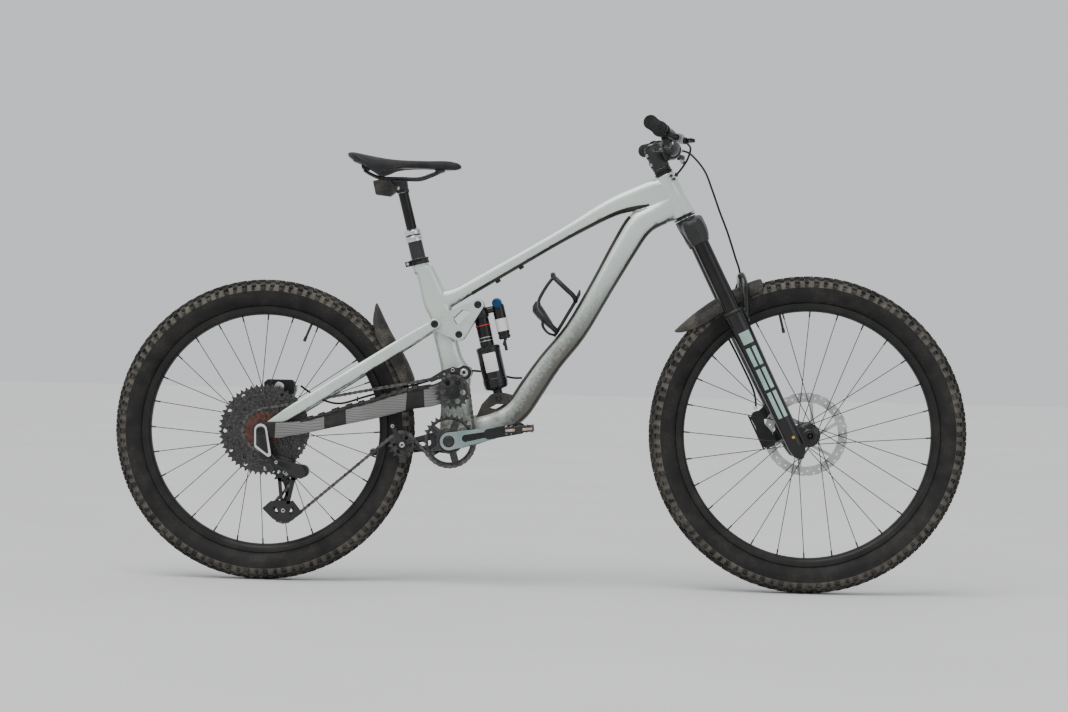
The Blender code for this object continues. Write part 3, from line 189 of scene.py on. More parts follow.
GUARD = surface("rubber_guard", (0.012, 0.012, 0.012), (0.022, 0.0215, 0.021), (0.5, 0.7), 0.0, 14, 0.3, 1200, dust=0.3, dust_rgb=(0.10, 0.09, 0.07))
HOSE = surface("hose_black", (0.008, 0.008, 0.008), (0.014, 0.014, 0.014), (0.35, 0.5), 0.0, 60, 0.05, 1500)
STEEL = surface("brushed_steel", (0.42, 0.42, 0.42), (0.56, 0.56, 0.55), (0.22, 0.36), 1.0, 40, 0.12, 1500, dust=0.12)
SILVER = surface("polished_silver", (0.62, 0.62, 0.63), (0.75, 0.75, 0.76), (0.12, 0.24), 1.0, 30, 0.05, 1500)
WORN = surface("worn_teeth", (0.035, 0.034, 0.033), (0.085, 0.082, 0.08), (0.32, 0.5), 0.9, 220, 0.15, 1200, dust=0.2, dust_rgb=(0.09, 0.08, 0.065))
CHAINM = surface("chain_steel", (0.05, 0.048, 0.045), (0.16, 0.152, 0.145), (0.28, 0.45), 1.0, 120, 0.1, 1200, dust=0.2, dust_rgb=(0.09, 0.08, 0.065))
COGM = surface("cog_steel", (0.04, 0.039, 0.039), (0.10, 0.098, 0.096), (0.28, 0.45), 0.95, 240, 0.1, 1200, dust=0.15, dust_rgb=(0.09, 0.08, 0.065))
COGR = surface("small_cogs", (0.11, 0.045, 0.035), (0.15, 0.085, 0.07), (0.3, 0.45), 0.9, 80, 0.1, 1200, dust=0.2, dust_rgb=(0.06, 0.05, 0.045))
# painted highlight: the pale blue-grey stands in for a light reflection on the inner part of the right crank
PALE_CRANK_HIGHLIGHT = surface("crank_painted_highlight", (0.22, 0.29, 0.30), (0.32, 0.39, 0.39), (0.2, 0.35), 0.8, 20, 0.06, 1500, coat=0.3, dust=0.2)
MINT = surface("mint_blocks", (0.27, 0.42, 0.38), (0.34, 0.50, 0.45), (0.3, 0.45), 0.0, 30, 0.03, 1500, dust=0.3)
WHITE = surface("white_label", (0.66, 0.66, 0.64), (0.74, 0.74, 0.72), (0.3, 0.45), 0.0, 30, 0.03, 1500, dust=0.2)
RED = surface("red_rubber", (0.45, 0.02, 0.015), (0.55, 0.04, 0.03), (0.35, 0.5), 0.0, 60, 0.05, 1500)
BLUE = surface("blue_anodised", (0.01, 0.05, 0.14), (0.015, 0.08, 0.2), (0.22, 0.35), 0.8, 60, 0.05, 1500)
GOLD = surface("gold_anodised", (0.55, 0.36, 0.10), (0.65, 0.45, 0.15), (0.22, 0.35), 0.9, 60, 0.05, 1500)
# orange trim whose whitish second tone is a painted highlight on the pedal end
ORANGE_TRIM_AND_HIGHLIGHT = surface("orange_trim_and_painted_highlight", (0.36, 0.20, 0.13), (0.50, 0.42, 0.36), (0.35, 0.5), 0.0, 60, 0.05, 1500, dust=0.4)
COAT = surface("fork_coating", (0.010, 0.0095, 0.009), (0.016, 0.015, 0.014), (0.14, 0.22), 0.5, 20, 0.02, 1500)


# ---------------------------------------------------------------- shapes: each returns (vertices, faces)
def loft(rings, closed=False, caps=True):
    n, m = len(rings[0]), len(rings)
    verts = [p for r in rings for p in r]
    faces = [(i * n + j, i * n + (j + 1) % n, ((i + 1) % m) * n + (j + 1) % n, ((i + 1) % m) * n + j) for i in range(m if closed else m - 1) for j in range(n)]
    if not closed and caps:
        faces += [tuple(range(n)), tuple(reversed(range((m - 1) * n, m * n)))]
    return verts, faces


def basis(axis):
    w = Vector(axis).normalized()
    u = V(1, 0, 0) if abs(w.x) < 0.9 else V(0, 0, 1)
    u = (u - w * u.dot(w)).normalized()
    return u, w.cross(u), w


def lathe(profile, o, axis, n=48, ring=False):
    u, v, w = basis(axis)
    verts, rows, faces = [], [], []
    for r, h in profile:
        if r < 1e-6:
            verts.append(o + w * h)
            rows.append([len(verts) - 1] * n)
        else:
            rows.append([len(verts) + k for k in range(n)])
            verts += [o + w * h + u * (r * math.cos(2 * math.pi * k / n)) + v * (r * math.sin(2 * math.pi * k / n)) for k in range(n)]
    for i in range(len(rows) if ring else len(rows) - 1):
        a, b = rows[i], rows[(i + 1) % len(rows)]
        for k in range(n):
            f = [a[k], a[(k + 1) % n], b[(k + 1) % n], b[k]]
            f = [x for j, x in enumerate(f) if x not in f[:j]]
            if len(f) > 2:
                faces.append(tuple(f))
    return verts, faces


def rod(o, axis, r, h0, h1, n=32, hole=0.0):
    if hole:
        return lathe([(hole, h0), (r, h0), (r, h1), (hole, h1)], o, axis, n, ring=True)
    return lathe([(0, h0), (r, h0), (r, h1), (0, h1)], o, axis, n)


def yrod(c, r, y0, y1, n=32, hole=0.0):
    return rod(V(c[0], 0, c[1]), YA, r, y0, y1, n, hole)


def bolt(c, y, s, r=6.0, mat=None, depth=3.0):
    """Socket-head bolt seen from side s (+1 left, -1 right): washer, head, chamfer and hex recess."""
    head = lathe([(0, -0.7), (r * 0.45, -0.7), (r * 0.45, 0.5), (r * 0.55, 0.9), (r * 0.72, 0.9), (r * 0.82, 0.3), (r * 0.84, -0.1), (r, -0.3), (r, -depth), (0, -depth)], V(c[0], y, c[1]), (0, s, 0), 36)
    sock = lathe([(0, -0.55), (r * 0.40, -0.55)], V(c[0], y, c[1]), (0, s, 0), 6)
    return [(head, mat), (sock, GLOSS)]


def prism(outer, holes, o, ex, ey, ez, z0, z1):
    ex, ey, ez = Vector(ex), Vector(ey), Vector(ez)
    loops = [outer] + list(holes)
    tris = tessellate_polygon([[V(a, b, 0) for a, b in lp] for lp in loops])
    pts = [p for lp in loops for p in lp]
    n = len(pts)
    verts = [o + ex * a + ey * b + ez * z for z in (z0, z1) for a, b in pts]
    faces = [tuple(t) for t in tris] + [tuple(i + n for i in reversed(t)) for t in tris]
    at = 0
    for lp in loops:
        m = len(lp)
        faces += [(at + j, at + (j + 1) % m, at + (j + 1) % m + n, at + j + n) for j in range(m)]
        at += m
    return verts, faces


def plate(outer, holes, y0, y1):
    return prism(outer, holes, V(0, 0, 0), (1, 0, 0), (0, 0, 1), YA, y0, y1)


def circle(c, r, n=24, start=0.0):
    return [(c[0] + r * math.cos(start + 2 * math.pi * k / n), c[1] + r * math.sin(start + 2 * math.pi * k / n)) for k in range(n)]


def hull(circles, n=32):
    pts = sorted({(round(p[0], 3), round(p[1], 3)) for c, r in circles for p in circle(c, r, n)})

    def half(seq):
        out = []
        for p in seq:
            while len(out) > 1 and (out[-1][0] - out[-2][0]) * (p[1] - out[-2][1]) - (out[-1][1] - out[-2][1]) * (p[0] - out[-2][0]) <= 1e-6:
                out.pop()
            out.append(p)
        return out
    a, b = half(pts), half(pts[::-1])
    return a[:-1] + b[:-1]


def oval(c, ax, ay, hx, hy, n=28, p=2.5, t0=0.0, t1=2 * math.pi, open_=False):
    ax, ay = Vector(ax).normalized(), Vector(ay).normalized()
    out = []
    for k in range(n):
        t = t0 + (t1 - t0) * (k / (n - 1) if open_ else (k + 0.5) / n)
        ct, st = math.cos(t), math.sin(t)
        out.append(c + ax * (hx * math.copysign(abs(ct) ** (2 / p), ct)) + ay * (hy * math.copysign(abs(st) ** (2 / p), st)))
    return out


def dense(rows, per=4):
    """Catmull-Rom through rows of numbers."""
    out = []
    for i in range(len(rows) - 1):
        a, b, c, d = rows[max(i - 1, 0)], rows[i], rows[i + 1], rows[min(i + 2, len(rows) - 1)]
        for k in range(per):
            t = k / per
            out.append(tuple(0.5 * (2 * q + (r - p) * t + (2 * p - 5 * q + 4 * r - s) * t * t + (3 * q - p - 3 * r + s) * t ** 3) for p, q, r, s in zip(a, b, c, d)))
    return out + [tuple(rows[-1])]


def spar(sections, n=28, p=2.5, per=4):
    rings = []
    for s in dense([tuple(q[:5]) + ((q[5],) if len(q) > 5 else (0.0,)) for q in sections], per):
        ux, uz, lx, lz, hw, yc = s
        d = V(ux - lx, 0, uz - lz)
        rings.append(oval(V((ux + lx) / 2, yc, (uz + lz) / 2), YA, d, hw, d.length / 2, n, p))
    return loft(rings)


def cover(sections, t0, t1, out=1.2, thick=2.0, n=15, p=2.5, per=4, i0=0, i1=None):
    """Thin shell over part of a spar's skin, from angle t0 to t1 of each section."""
    rings = []
    rows = dense([tuple(q[:5]) + ((q[5],) if len(q) > 5 else (0.0,)) for q in sections], per)[i0:i1]
    for s in rows:
        ux, uz, lx, lz, hw, yc = s
        d = V(ux - lx, 0, uz - lz)
        c = V((ux + lx) / 2, yc, (uz + lz) / 2)
        a = oval(c, YA, d, hw + out, d.length / 2 + out, n, p, t0, t1, True)
        b = oval(c, YA, d, hw + out - thick, d.length / 2 + out - thick, n, p, t0, t1, True)
        rings.append(a + b[::-1])
    return loft(rings)


def pipe(points, r, n=16, closed=False, caps=True):
    pts = [Vector(p) for p in points]
    m = len(pts)
    rings, up = [], None
    for i, p in enumerate(pts):
        a = pts[(i - 1) % m] if (i or closed) else p
        b = pts[(i + 1) % m] if (i < m - 1 or closed) else p
        t = (b - a).normalized()
        if up is None:
            up = basis(t)[0]
        up = (up - t * up.dot(t)).normalized()
        rr = r[i] if isinstance(r, (list, tuple)) else r
        rings.append([p + up * (rr * math.cos(2 * math.pi * k / n)) + t.cross(up) * (rr * math.sin(2 * math.pi * k / n)) for k in range(n)])
    return loft(rings, closed, caps)


def smooth(points, per=6):
    return [Vector(q) for q in dense([tuple(p) for p in points], per)]


def brick(c, ex, ey, ez, hx, hy, hz, top=0.75):
    """Block with a narrower top, as a tyre knob."""
    verts = []
    for s, k in ((-1, 1.0), (1, top)):
        verts += [c + ex * (a * hx * k) + ey * (b * hy * k) + ez * (s * hz) for a, b in ((-1, -1), (1, -1), (1, 1), (-1, 1))]
    return verts, [(3, 2, 1, 0), (4, 5, 6, 7)] + [(i, (i + 1) % 4, (i + 1) % 4 + 4, i + 4) for i in range(4)]


def merge(geos):
    verts, faces = [], []
    for v, f in geos:
        n = len(verts)
        verts += v
        faces += [tuple(i + n for i in q) for q in f]
    return verts, faces


def emit(name, body, nodes, parts, bevel=0.0, sharp=35, segs=2, fix=True):
    verts, faces, idx, mats = [], [], [], []
    for geo, mat in parts:
        if mat not in mats:
            mats.append(mat)
        n = len(verts)
        verts += geo[0]
        faces += [tuple(i + n for i in q) for q in geo[1]]
        idx += [mats.index(mat)] * len(geo[1])
    me = bpy.data.meshes.new(name)
    me.from_pydata([tuple(Vector(v) * MM) for v in verts], [], faces)
    for m in mats:
        me.materials.append(m)
    me.polygons.foreach_set("material_index", idx)
    if fix:
        bm = bmesh.new()
        bm.from_mesh(me)
        bmesh.ops.recalc_face_normals(bm, faces=bm.faces)
        bm.to_mesh(me)
        bm.free()
    me.shade_smooth()
    me.set_sharp_from_angle(angle=math.radians(sharp))
    ob = bpy.data.objects.new(name, me)
    bpy.context.scene.collection.objects.link(ob)
    if bevel:
        b = ob.modifiers.new("edge", "BEVEL")
        b.width, b.segments, b.limit_method, b.angle_limit = bevel * MM, segs, "ANGLE", math.radians(40)
        b.use_clamp_overlap = True
    if body:
        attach(ob, body)
    if nodes:
        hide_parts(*nodes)
    return ob


def fused(name, body, nodes, geos, mat, voxel=2.2, rounds=8, factor=0.5):
    """Moulded piece: the shapes are melted together and their joins rounded."""
    ob = emit(name, None, [], [(g, mat) for g in geos])
    r = ob.modifiers.new("melt", "REMESH")
    r.mode, r.voxel_size, r.adaptivity = "VOXEL", voxel * MM, 0.0
    s = ob.modifiers.new("round", "SMOOTH")
    s.factor, s.iterations = factor, rounds
    bpy.context.view_layer.update()
    me = bpy.data.meshes.new_from_object(ob.evaluated_get(bpy.context.evaluated_depsgraph_get()))
    ob.modifiers.clear()
    ob.data = me
    me.materials.clear()
    me.materials.append(mat)
    me.shade_smooth()
    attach(ob, body)
    if nodes:
        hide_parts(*nodes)
    return ob


# ---------------------------------------------------------------- tyres, rims, spokes, rotors
def tyre(name, body, node, R, rim, c, count):
    o = V(c[0], 0, c[1])
    ri, ro = rim + 14.5, rim + 20.5
    base = R - 5.4
    side = [(ri, 12.5), (ro, 14.0), (ro + 2, 17.6), (ro + 9, 23), (ro + 18, 28.0), (ro + 27, 29.8), (base - 21, 29.4)]
    crown_ = [(base - 21, 29.4), (base - 15, 27.6), (base - 8, 23.6), (base - 4, 17.5), (base - 1, 9), (base, 0), (base - 1, -9), (base - 4, -17.5), (base - 8, -23.6), (base - 15, -27.6), (base - 21, -29.4)]
    parts = [(lathe(side, o, YA, 144), RUBBER), (lathe(crown_, o, YA, 144), MUDT), (lathe([(a, -b) for a, b in reversed(side)] + [(ri - 0.5, 0), (ri, 12.5)], o, YA, 144), RUBBER)]
    knobs = []
    for k in range(count):
        t = 2 * math.pi * k / count
        big = k % 2 == 0
        rows_ = [(7.6 if big else 5.6, 0.0, base + 1.6, 6.6, 3.6 if big else 5.2, 3.6, 0.12), (17.2, 0.5, base - 1.4, 5.6, 3.6, 3.9, 0.55)]
        rows_ += [(25.6, 0.0, base - 7.6, 6.4 if big else 5.0, 4.2, 4.8, 1.0), (29.6, 0.0 if big else 0.08, base - 15.5, 5.8 if big else 3.6, 4.6 if big else 3.2, 2.6, 1.36)]
        for y0, off, rr, hx, hy, hz, tilt in rows_:
            for sd in (1, -1):
                a = t + (off + (0.5 if sd < 0 else 0)) * 2 * math.pi / count
                d = V(math.cos(a), 0, math.sin(a))
                ez = (d * math.cos(tilt) + V(0, sd * math.sin(tilt), 0)).normalized()
                ex = V(-d.z, 0, d.x)
                knobs.append(brick(o + d * rr + V(0, sd * y0, 0), ex, ez.cross(ex), ez, hx, hy, hz, 0.8))
    parts.append((merge(knobs), KNOB))
    return emit(name, body, [node], parts, sharp=40, fix=False)


tyre("rear_tyre_tread", "rear_wheel", "rear_tyre", TR, RIMR, AXLE_R, 96)
tyre("front_tyre_tread", "front_wheel", "front_tyre", TF, RIMF, AXLE_F, 100)


def wheel(name, body, node, c, rim, prof, fl, fr, count=28):
    o = V(c[0], 0, c[1])
    r = rim
    rp = [(r, -7), (r - 0.3, 0), (r, 7), (r + 4, 13), (r + 9.5, 16.8), (r + 19.6, 17.3), (r + 20.4, 16.2), (r + 19.8, 14.9), (r + 14, 14.2), (r + 14, -14.2), (r + 19.8, -14.9), (r + 20.4, -16.2), (r + 19.6, -17.3), (r + 9.5, -16.8), (r + 4, -13)]
    vd = (-0.2463, 0, 0.9692) if name == "front" else (0.381, 0, 0.9246)
    valve = rod(o, vd, 3, r - 36, r + 4, 14)
    cap = rod(o, vd, 3.8, r - 44, r - 32, 12)
    emit(name + "_rim_ring", body, [node[1]], [(lathe(rp, o, YA, 144, ring=True), RIMM), (valve, SATIN), (cap, SATIN)], sharp=40)
    hub = lathe(prof, o, YA, 48, ring=True)
    bars, nips = [], []
    for k in range(count):
        left, lead = k % 2, (k // 2) % 2
        y0 = (fl if left else fr) + (1.7 if lead else -1.7)
        t = 2 * math.pi * k / count
        t0 = t + (0.95 if lead else -0.95)
        a = o + V(math.cos(t0) * 25.5, y0, math.sin(t0) * 25.5)
        b = o + V(math.cos(t) * (rim + 0.5), (5 if left else -5), math.sin(t) * (rim + 0.5))
        d = (b - a).normalized()
        bars.append(pipe([a - d * 2, b], 1.0, 8))
        nips.append(pipe([b - d * 13, b], 1.9, 8))
    emit(name + "_hub_spokes", body, [node[0]], [(hub, GLOSS), (merge(bars), SATIN), (merge(nips), SATIN)], sharp=40, fix=False)


wheel("rear", "rear_wheel", ("rear_hub_and_spokes", "rear_rim"), AXLE_R, RIMR,
      [(6.6, -22.5), (19, -22.5), (20, -21.6), (29, -21), (30, -19.5), (30, -17), (29, -15.8), (19, -14.5), (15, -9), (13.5, 4), (14, 18), (17, 29), (22, 31.2), (29.5, 32), (30.5, 33.5), (30.5, 36.5), (29.5, 38), (19, 39), (19, 60), (12, 61), (10, 74), (6.6, 74)], 35, -18.5)
wheel("front", "front_wheel", ("front_hub_and_spokes", "front_rim"), AXLE_F, RIMF,
      [(8, -50), (12, -50), (13, -40), (15, -37), (27, -34.5), (28.5, -33), (28.5, -31), (27, -29.5), (18, -27), (14, -20), (12.5, 0), (14, 17), (19, 21.5), (27, 23), (28.5, 24.5), (28.5, 27), (27, 28.5), (19, 30), (19, 50), (12, 51), (12, 54.4), (8, 54.4)], 25.5, -32)


def rotor(name, body, node, c, y, side):
    holes = []
    for k in range(40):
        t = 2 * math.pi * (k + 0.5) / 40
        rr = 88 + (5.6 if k % 2 else 0)
        holes.append(circle((c[0] + rr * math.cos(t), c[1] + rr * math.sin(t)), 2.5, 8))
        rr = 93.6 if k % 2 == 0 else 86.5
        t += math.pi / 40
    for k in range(6):
        t0 = 2 * math.pi * k / 6
        pts = []
        for rr, q0, q1 in ((30, 0.14, 0.90), (77, 0.42, 1.36)):
            ts = [t0 + q0 + (q1 - q0) * j / 9 for j in range(10)]
            ring_ = [(c[0] + rr * math.cos(q), c[1] + rr * math.sin(q)) for q in ts]
            pts += ring_ if rr < 50 else ring_[::-1]
        holes.append(pts)
    disc = plate([(c[0] + (99.6 if k % 4 < 2 else 98.3) * math.cos(2 * math.pi * k / 120), c[1] + (99.6 if k % 4 < 2 else 98.3) * math.sin(2 * math.pi * k / 120)) for k in range(120)], [circle(c, 19.4, 30)] + holes, y - 0.9, y + 0.9)
    parts = [(disc, STEEL), (lathe([(19.2, y + 0.9), (27, y + 0.9), (27, y + 2.6), (24, y + 3.4), (19.2, y + 3.4)], V(c[0], 0, c[1]), YA, 48, ring=True), ANOD)]
    return emit(name, body, [node], parts, sharp=30)


rotor("rear_brake_disc", "rear_wheel", "rear_rotor", AXLE_R, 57.1, 1)
rotor("front_brake_disc", "front_wheel", "front_rotor", AXLE_F, 46.5, 1)


# ---------------------------------------------------------------- chain and sprockets
def radius(teeth):
    return 12.7 / (2 * math.sin(math.pi / teeth))


def belt(wheels, start, end):
    ends = []
    for (c0, r0, s0, _), (c1, r1, s1, _) in zip(wheels, wheels[1:]):
        dx, dz = c1[0] - c0[0], c1[1] - c0[1]
        d, base_a = math.hypot(dx, dz), math.atan2(dz, dx)
        a = base_a + math.pi / 2 - math.asin((s0 * r0 - s1 * r1) / d)
        n = (math.cos(a), math.sin(a))
        ends.append(((c0[0] + s0 * r0 * n[0], c0[1] + s0 * r0 * n[1]), (c1[0] + s1 * r1 * n[0], c1[1] + s1 * r1 * n[1])))
    pts = []
    for i, (c, r, s, y) in enumerate(wheels):
        a0 = start if i == 0 else math.atan2(ends[i - 1][1][1] - c[1], ends[i - 1][1][0] - c[0])
        a1 = end if i == len(wheels) - 1 else math.atan2(ends[i][0][1] - c[1], ends[i][0][0] - c[0])
        turn = (a0 - a1) % (2 * math.pi) if s > 0 else (a1 - a0) % (2 * math.pi)
        m = max(1, int(math.degrees(turn) / 2))
        for j in range(m + 1):
            t = a0 - s * turn * j / m
            pts.append((V(c[0] + r * math.cos(t), y, c[1] + r * math.sin(t)), i))
    return pts


R30, R19, R15, R14, R24 = radius(30), radius(19), radius(15), radius(14), radius(24)
W = [(IDLER, R19, 1, CHAIN_Y), (CRANK, R30, 1, CHAIN_Y), (LOW_IDLER, R15, -1, CHAIN_Y), (TENSION, R14, 1, COG_Y), (GUIDE, R14, -1, COG_Y), (AXLE_R, R24, 1, COG_Y), (IDLER, R19, 1, CHAIN_Y)]
probe = belt(W, 0, 0)
p_in = probe[[i for i, q in enumerate(probe) if q[1] == 6][0]][0]
a_in = math.atan2(p_in.z - IDLER[1], p_in.x - IDLER[0])
path = belt(W, a_in, a_in)
path = path[:[i for i, q in enumerate(path) if q[1] == 6][0] + 1]
# walk the path at the pitch, stretched by under one per cent to close
total = sum((b[0] - a[0]).length for a, b in zip(path, path[1:]))
links = round(total / 12.7 / 2) * 2
step = total / links
pins, at, i, acc = [], 0.0, 0, 0.0
while len(pins) < links:
    a, b = path[i][0], path[i + 1][0]
    L = (b - a).length
    while at <= acc + L and len(pins) < links:
        pins.append((a + (b - a) * ((at - acc) / max(L, 1e-9)), path[i][1] if path[i][1] == path[i + 1][1] else (path[i][1], path[i + 1][1])))
        at += step
    acc += L
    i += 1
pins.append(pins[0])
groups, spans = {}, {}
for k in range(links):
    key = pins[k][1] if not isinstance(pins[k][1], tuple) else pins[k][1]
    p, q = pins[k][0], pins[k + 1][0]
    t = (q - p).normalized()
    n = V(-t.z, 0, t.x).normalized()
    y = V(0, 1, 0)
    L = (q - p).length
    shape = []
    for j in range(9):
        a = math.pi / 2 + math.pi * j / 8
        shape.append((4.1 * math.cos(a), 4.1 * math.sin(a)))
    shape.append((L / 2, -2.9))
    for j in range(9):
        a = -math.pi / 2 + math.pi * j / 8
        shape.append((L + 4.1 * math.cos(a), 4.1 * math.sin(a)))
    shape.append((L / 2, 2.9))
    lo, hi = (1.2, 2.1) if k % 2 else (2.2, 3.1)
    g = [prism(shape, [], p, t, n, y, lo, hi), prism(shape, [], p, t, n, y, -hi, -lo), rod(p, YA, 3.7, -1.1, 1.1, 12), rod(p, YA, 1.9, -3.6, 3.6, 10)]
    groups.setdefault(key, []).extend(g)
    spans.setdefault(key, []).append((p.copy(), q.copy(), g))


def chain_part(name, keys, body=None, blend=None, nodes=()):
    geos = [g for k in keys for g in groups.get(k, [])]
    ob = emit(name, body, list(nodes), [(merge(geos), CHAINM)], sharp=40, fix=False)
    if blend:
        [c * MM for c in blend[2]]
        [c * MM for c in blend[3]]
        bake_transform(ob)
    return ob


chain_part("chain_at_chainring", [0, (0, 1), 1, (1, 2), 2], "frame", nodes=["chain_front_loop"])


def chain_span(name, key, i0, i1):
    """Part of a straight run, as a loose piece that follows no body."""
    row = spans[key][i0:i1]
    ob = emit(name, None, [], [(merge([x for _, _, g in row for x in g]), CHAINM)], sharp=40, fix=False)
    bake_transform(ob)


low_n = len(spans[(2, 3)])
chain_span("chain_lower_front", (2, 3), 0, low_n // 3)
chain_span("chain_lower_middle", (2, 3), low_n // 3, 2 * low_n // 3)
chain_span("chain_lower_rear", (2, 3), 2 * low_n // 3, low_n)
chain_part("chain_on_cage", [3, (3, 4), 4], "derailleur_cage")
gn = len(spans[(4, 5)])
if gn > 1:
    chain_span("chain_at_guide", (4, 5), 0, gn // 2)
chain_span("chain_to_cassette", (4, 5), gn // 2, gn)
chain_part("chain_on_cassette", [5], "swingarm", nodes=["chain_rear_loop"])
chain_part("chain_upper_run", [(5, 6)], None, ("frame", "swingarm", (IDLER[0], CHAIN_Y, IDLER[1] + R19), (AXLE_R[0], COG_Y, AXLE_R[1] + R24)))
PHASE = {}
for (p, key) in pins[:-1]:
    if not isinstance(key, tuple) and key not in PHASE:
        c = W[key][0]
        PHASE[key] = math.atan2(p.z - c[1], p.x - c[0])


def teeth(c, T, y, half, phase=0.0, holes=(), bore=10.0, taper=0.45):
    r = radius(T)
    out = []
    for k in range(T):
        for f, dr in ((-0.17, -2.9), (0.0, -3.9), (0.17, -2.9), (0.36, 1.0), (0.45, 3.3), (0.55, 3.3), (0.64, 1.0)):
            t = phase + 2 * math.pi * (k + f) / T
            out.append((c[0] + (r + dr) * math.cos(t), c[1] + (r + dr) * math.sin(t)))
    return plate(out, [circle(c, bore, 40)] + list(holes), y - half, y + half)


def ring_holes(c, rr, n, size, ph=0.0, nn=14):
    return [circle((c[0] + rr * math.cos(ph + 2 * math.pi * k / n), c[1] + rr * math.sin(ph + 2 * math.pi * k / n)), size, nn) for k in range(n)]


parts = [(teeth(IDLER, 19, CHAIN_Y, 0.9, PHASE.get(0, 0), ring_holes(IDLER, 24, 6, 6.5), 13), WORN),
         (lathe([(6.6, -4), (15, -4), (16, -3), (16, 3), (15, 4), (6.6, 4)], V(IDLER[0], CHAIN_Y, IDLER[1]), YA, 40, ring=True), ANOD)]
emit("upper_idler", "idler", ["idler_pulley"], parts, 0.25)
parts = [(teeth(LOW_IDLER, 15, CHAIN_Y, 0.9, PHASE.get(2, 0), ring_holes(LOW_IDLER, 19, 6, 4.5), 11), WORN),
         (lathe([(5.6, -4), (12, -4), (13, -3), (13, 3), (12, 4), (5.6, 4)], V(LOW_IDLER[0], CHAIN_Y, LOW_IDLER[1]), YA, 40, ring=True), ANOD)]
emit("lower_idler_wheel", "lower_idler", ["lower_idler_pulley"], parts, 0.25)
parts = [(teeth(CRANK, 30, CHAIN_Y, 0.9, PHASE.get(1, 0), [[(CRANK[0] + rr * math.cos(q), CRANK[1] + rr * math.sin(q)) for rr, qs in ((30, [2 * math.pi * k / 5 + 0.30 + 0.66 * j / 6 for j in range(7)]), (50, [2 * math.pi * k / 5 + 1.08 - 0.92 * j / 8 for j in range(9)])) for q in qs] for k in range(5)], 14.7), COGM), (lathe([(14.7, -3), (25, -3), (26.5, -2), (26.5, 2), (25, 3), (14.7, 3)], V(CRANK[0], CHAIN_Y, CRANK[1]), YA, 48, ring=True), ANOD), (lathe([(51.5, -1.8), (53.5, -1.8), (53.5, 1.8), (51.5, 1.8)], V(CRANK[0], CHAIN_Y, CRANK[1]), YA, 72, ring=True), ANOD)]
emit("chainring_toothed", "crank", ["chainring"], parts, 0.25)
for nm, c, key in (("guide_pulley", GUIDE, 4), ("tension_pulley", TENSION, 3)):
    parts = [(teeth(c, 14, COG_Y, 1.1, PHASE.get(key, 0), ring_holes(c, 16.5, 6, 4.2), 9), SATIN), (lathe([(4.6, -3.2), (9, -3.2), (10, -2), (10, 2), (9, 3.2), (4.6, 3.2)], V(c[0], COG_Y, c[1]), YA, 30, ring=True), STEEL)]
    emit(nm + "_toothed", nm, [nm], parts, 0.2)
cogs = []
for k, T in enumerate((10, 12, 14, 16, 18, 21, 24, 28, 32, 38, 45, 52)):
    y = -67 + 3.64 * k
    r = radius(T)
    holes = ring_holes(AXLE_R, r - 13, 12 if T > 40 else 9, 4.6, 0.1 * k) if T >= 28 else []
    if T >= 38:
        holes += ring_holes(AXLE_R, r - 26, 12 if T > 40 else 9, 4.0, 0.1 * k + 0.26)
    cogs.append((teeth(AXLE_R, T, y, 0.9, PHASE.get(5, 0) + 0.11 * (k - 6), holes, max(14.5, r - 44) if T > 30 else 14.5), COGR if T < 24 else COGM))
cogs.append((lathe([(6.6, -24), (17, -24), (30, -26), (30, -28), (16, -36), (15.5, -68), (17, -69), (17, -73), (12, -73.4), (6.6, -73.4)], V(AXLE_R[0], 0, AXLE_R[1]), YA, 48, ring=True), ANOD))
spid = []
for k in range(9):
    t = 2 * math.pi * k / 9
    d, e = V(math.cos(t), 0, math.sin(t)), V(-math.sin(t), 0, math.cos(t))
    spid.append(loft([[V(AXLE_R[0], y, AXLE_R[1]) + d * rr + e * w for y, w in ((yy - 1.2, -3), (yy - 1.2, 3), (yy + 1.2, 3), (yy + 1.2, -3))] for rr, yy in ((15, -44), (40, -38), (70, -30), (90, -28))]))
cogs.append((merge(spid), ANOD))
emit("cassette_cogs", "cassette", ["cassette"], cogs, 0.0, 30)

# ---------------------------------------------------------------- main frame
TT = [(286, 972, 312, 905, 21), (249, 969, 262, 899, 22), (203.3, 949.8, 205, 893, 22), (140.6, 918.7, 152, 875, 21), (36.6, 850.7, 47, 818, 19.5), (-58.5, 792.5, -48, 760, 18.5), (-163, 730.8, -152, 696, 18), (-214, 702, -196, 668, 18), (-262, 690, -240, 640, 16)]
DT = [(288, 938, 320, 879, 24), (238, 905, 277, 862, 26), (198.8, 881.9, 247, 841, 27), (164.3, 824.1, 217, 795, 27.5), (113.2, 722.6, 160, 697, 28.5), (56.5, 620.3, 101, 593, 30), (-3, 545, 44, 518, 31.5), (-44.5, 485.8, 3, 452, 33),
      (-78, 436, -30, 402, 34), (-118, 411, -72, 368, 35), (-165, 398, -128, 340, 35), (-212, 372, -196, 318, 34)]
ST = [(-307, 744, -263, 756, 19.5), (-296, 712, -246, 722, 19.5), (-283, 660, -222, 672, 20), (-267, 628, -212, 640, 21), (-257.5, 588, -203, 598, 21), (-244, 535, -188.2, 542, 22), (-238, 505, -166, 505, 23), (-236, 440, -168, 442, 22), (-236.5, 398, -165, 392, 26), (-238, 350, -184, 340, 34)]
S0 = sp(0, 0)
EAR = [(-150, 398), (-138, 428), (-117, 452), (-98, 457), (-82, 455), (-60, 450), (-52, 436), (-66, 404), (-100, 392)]
EAR_HOLE = [(-120, 419), (-103, 429), (-84, 429), (-78, 420), (-88, 414.5)]
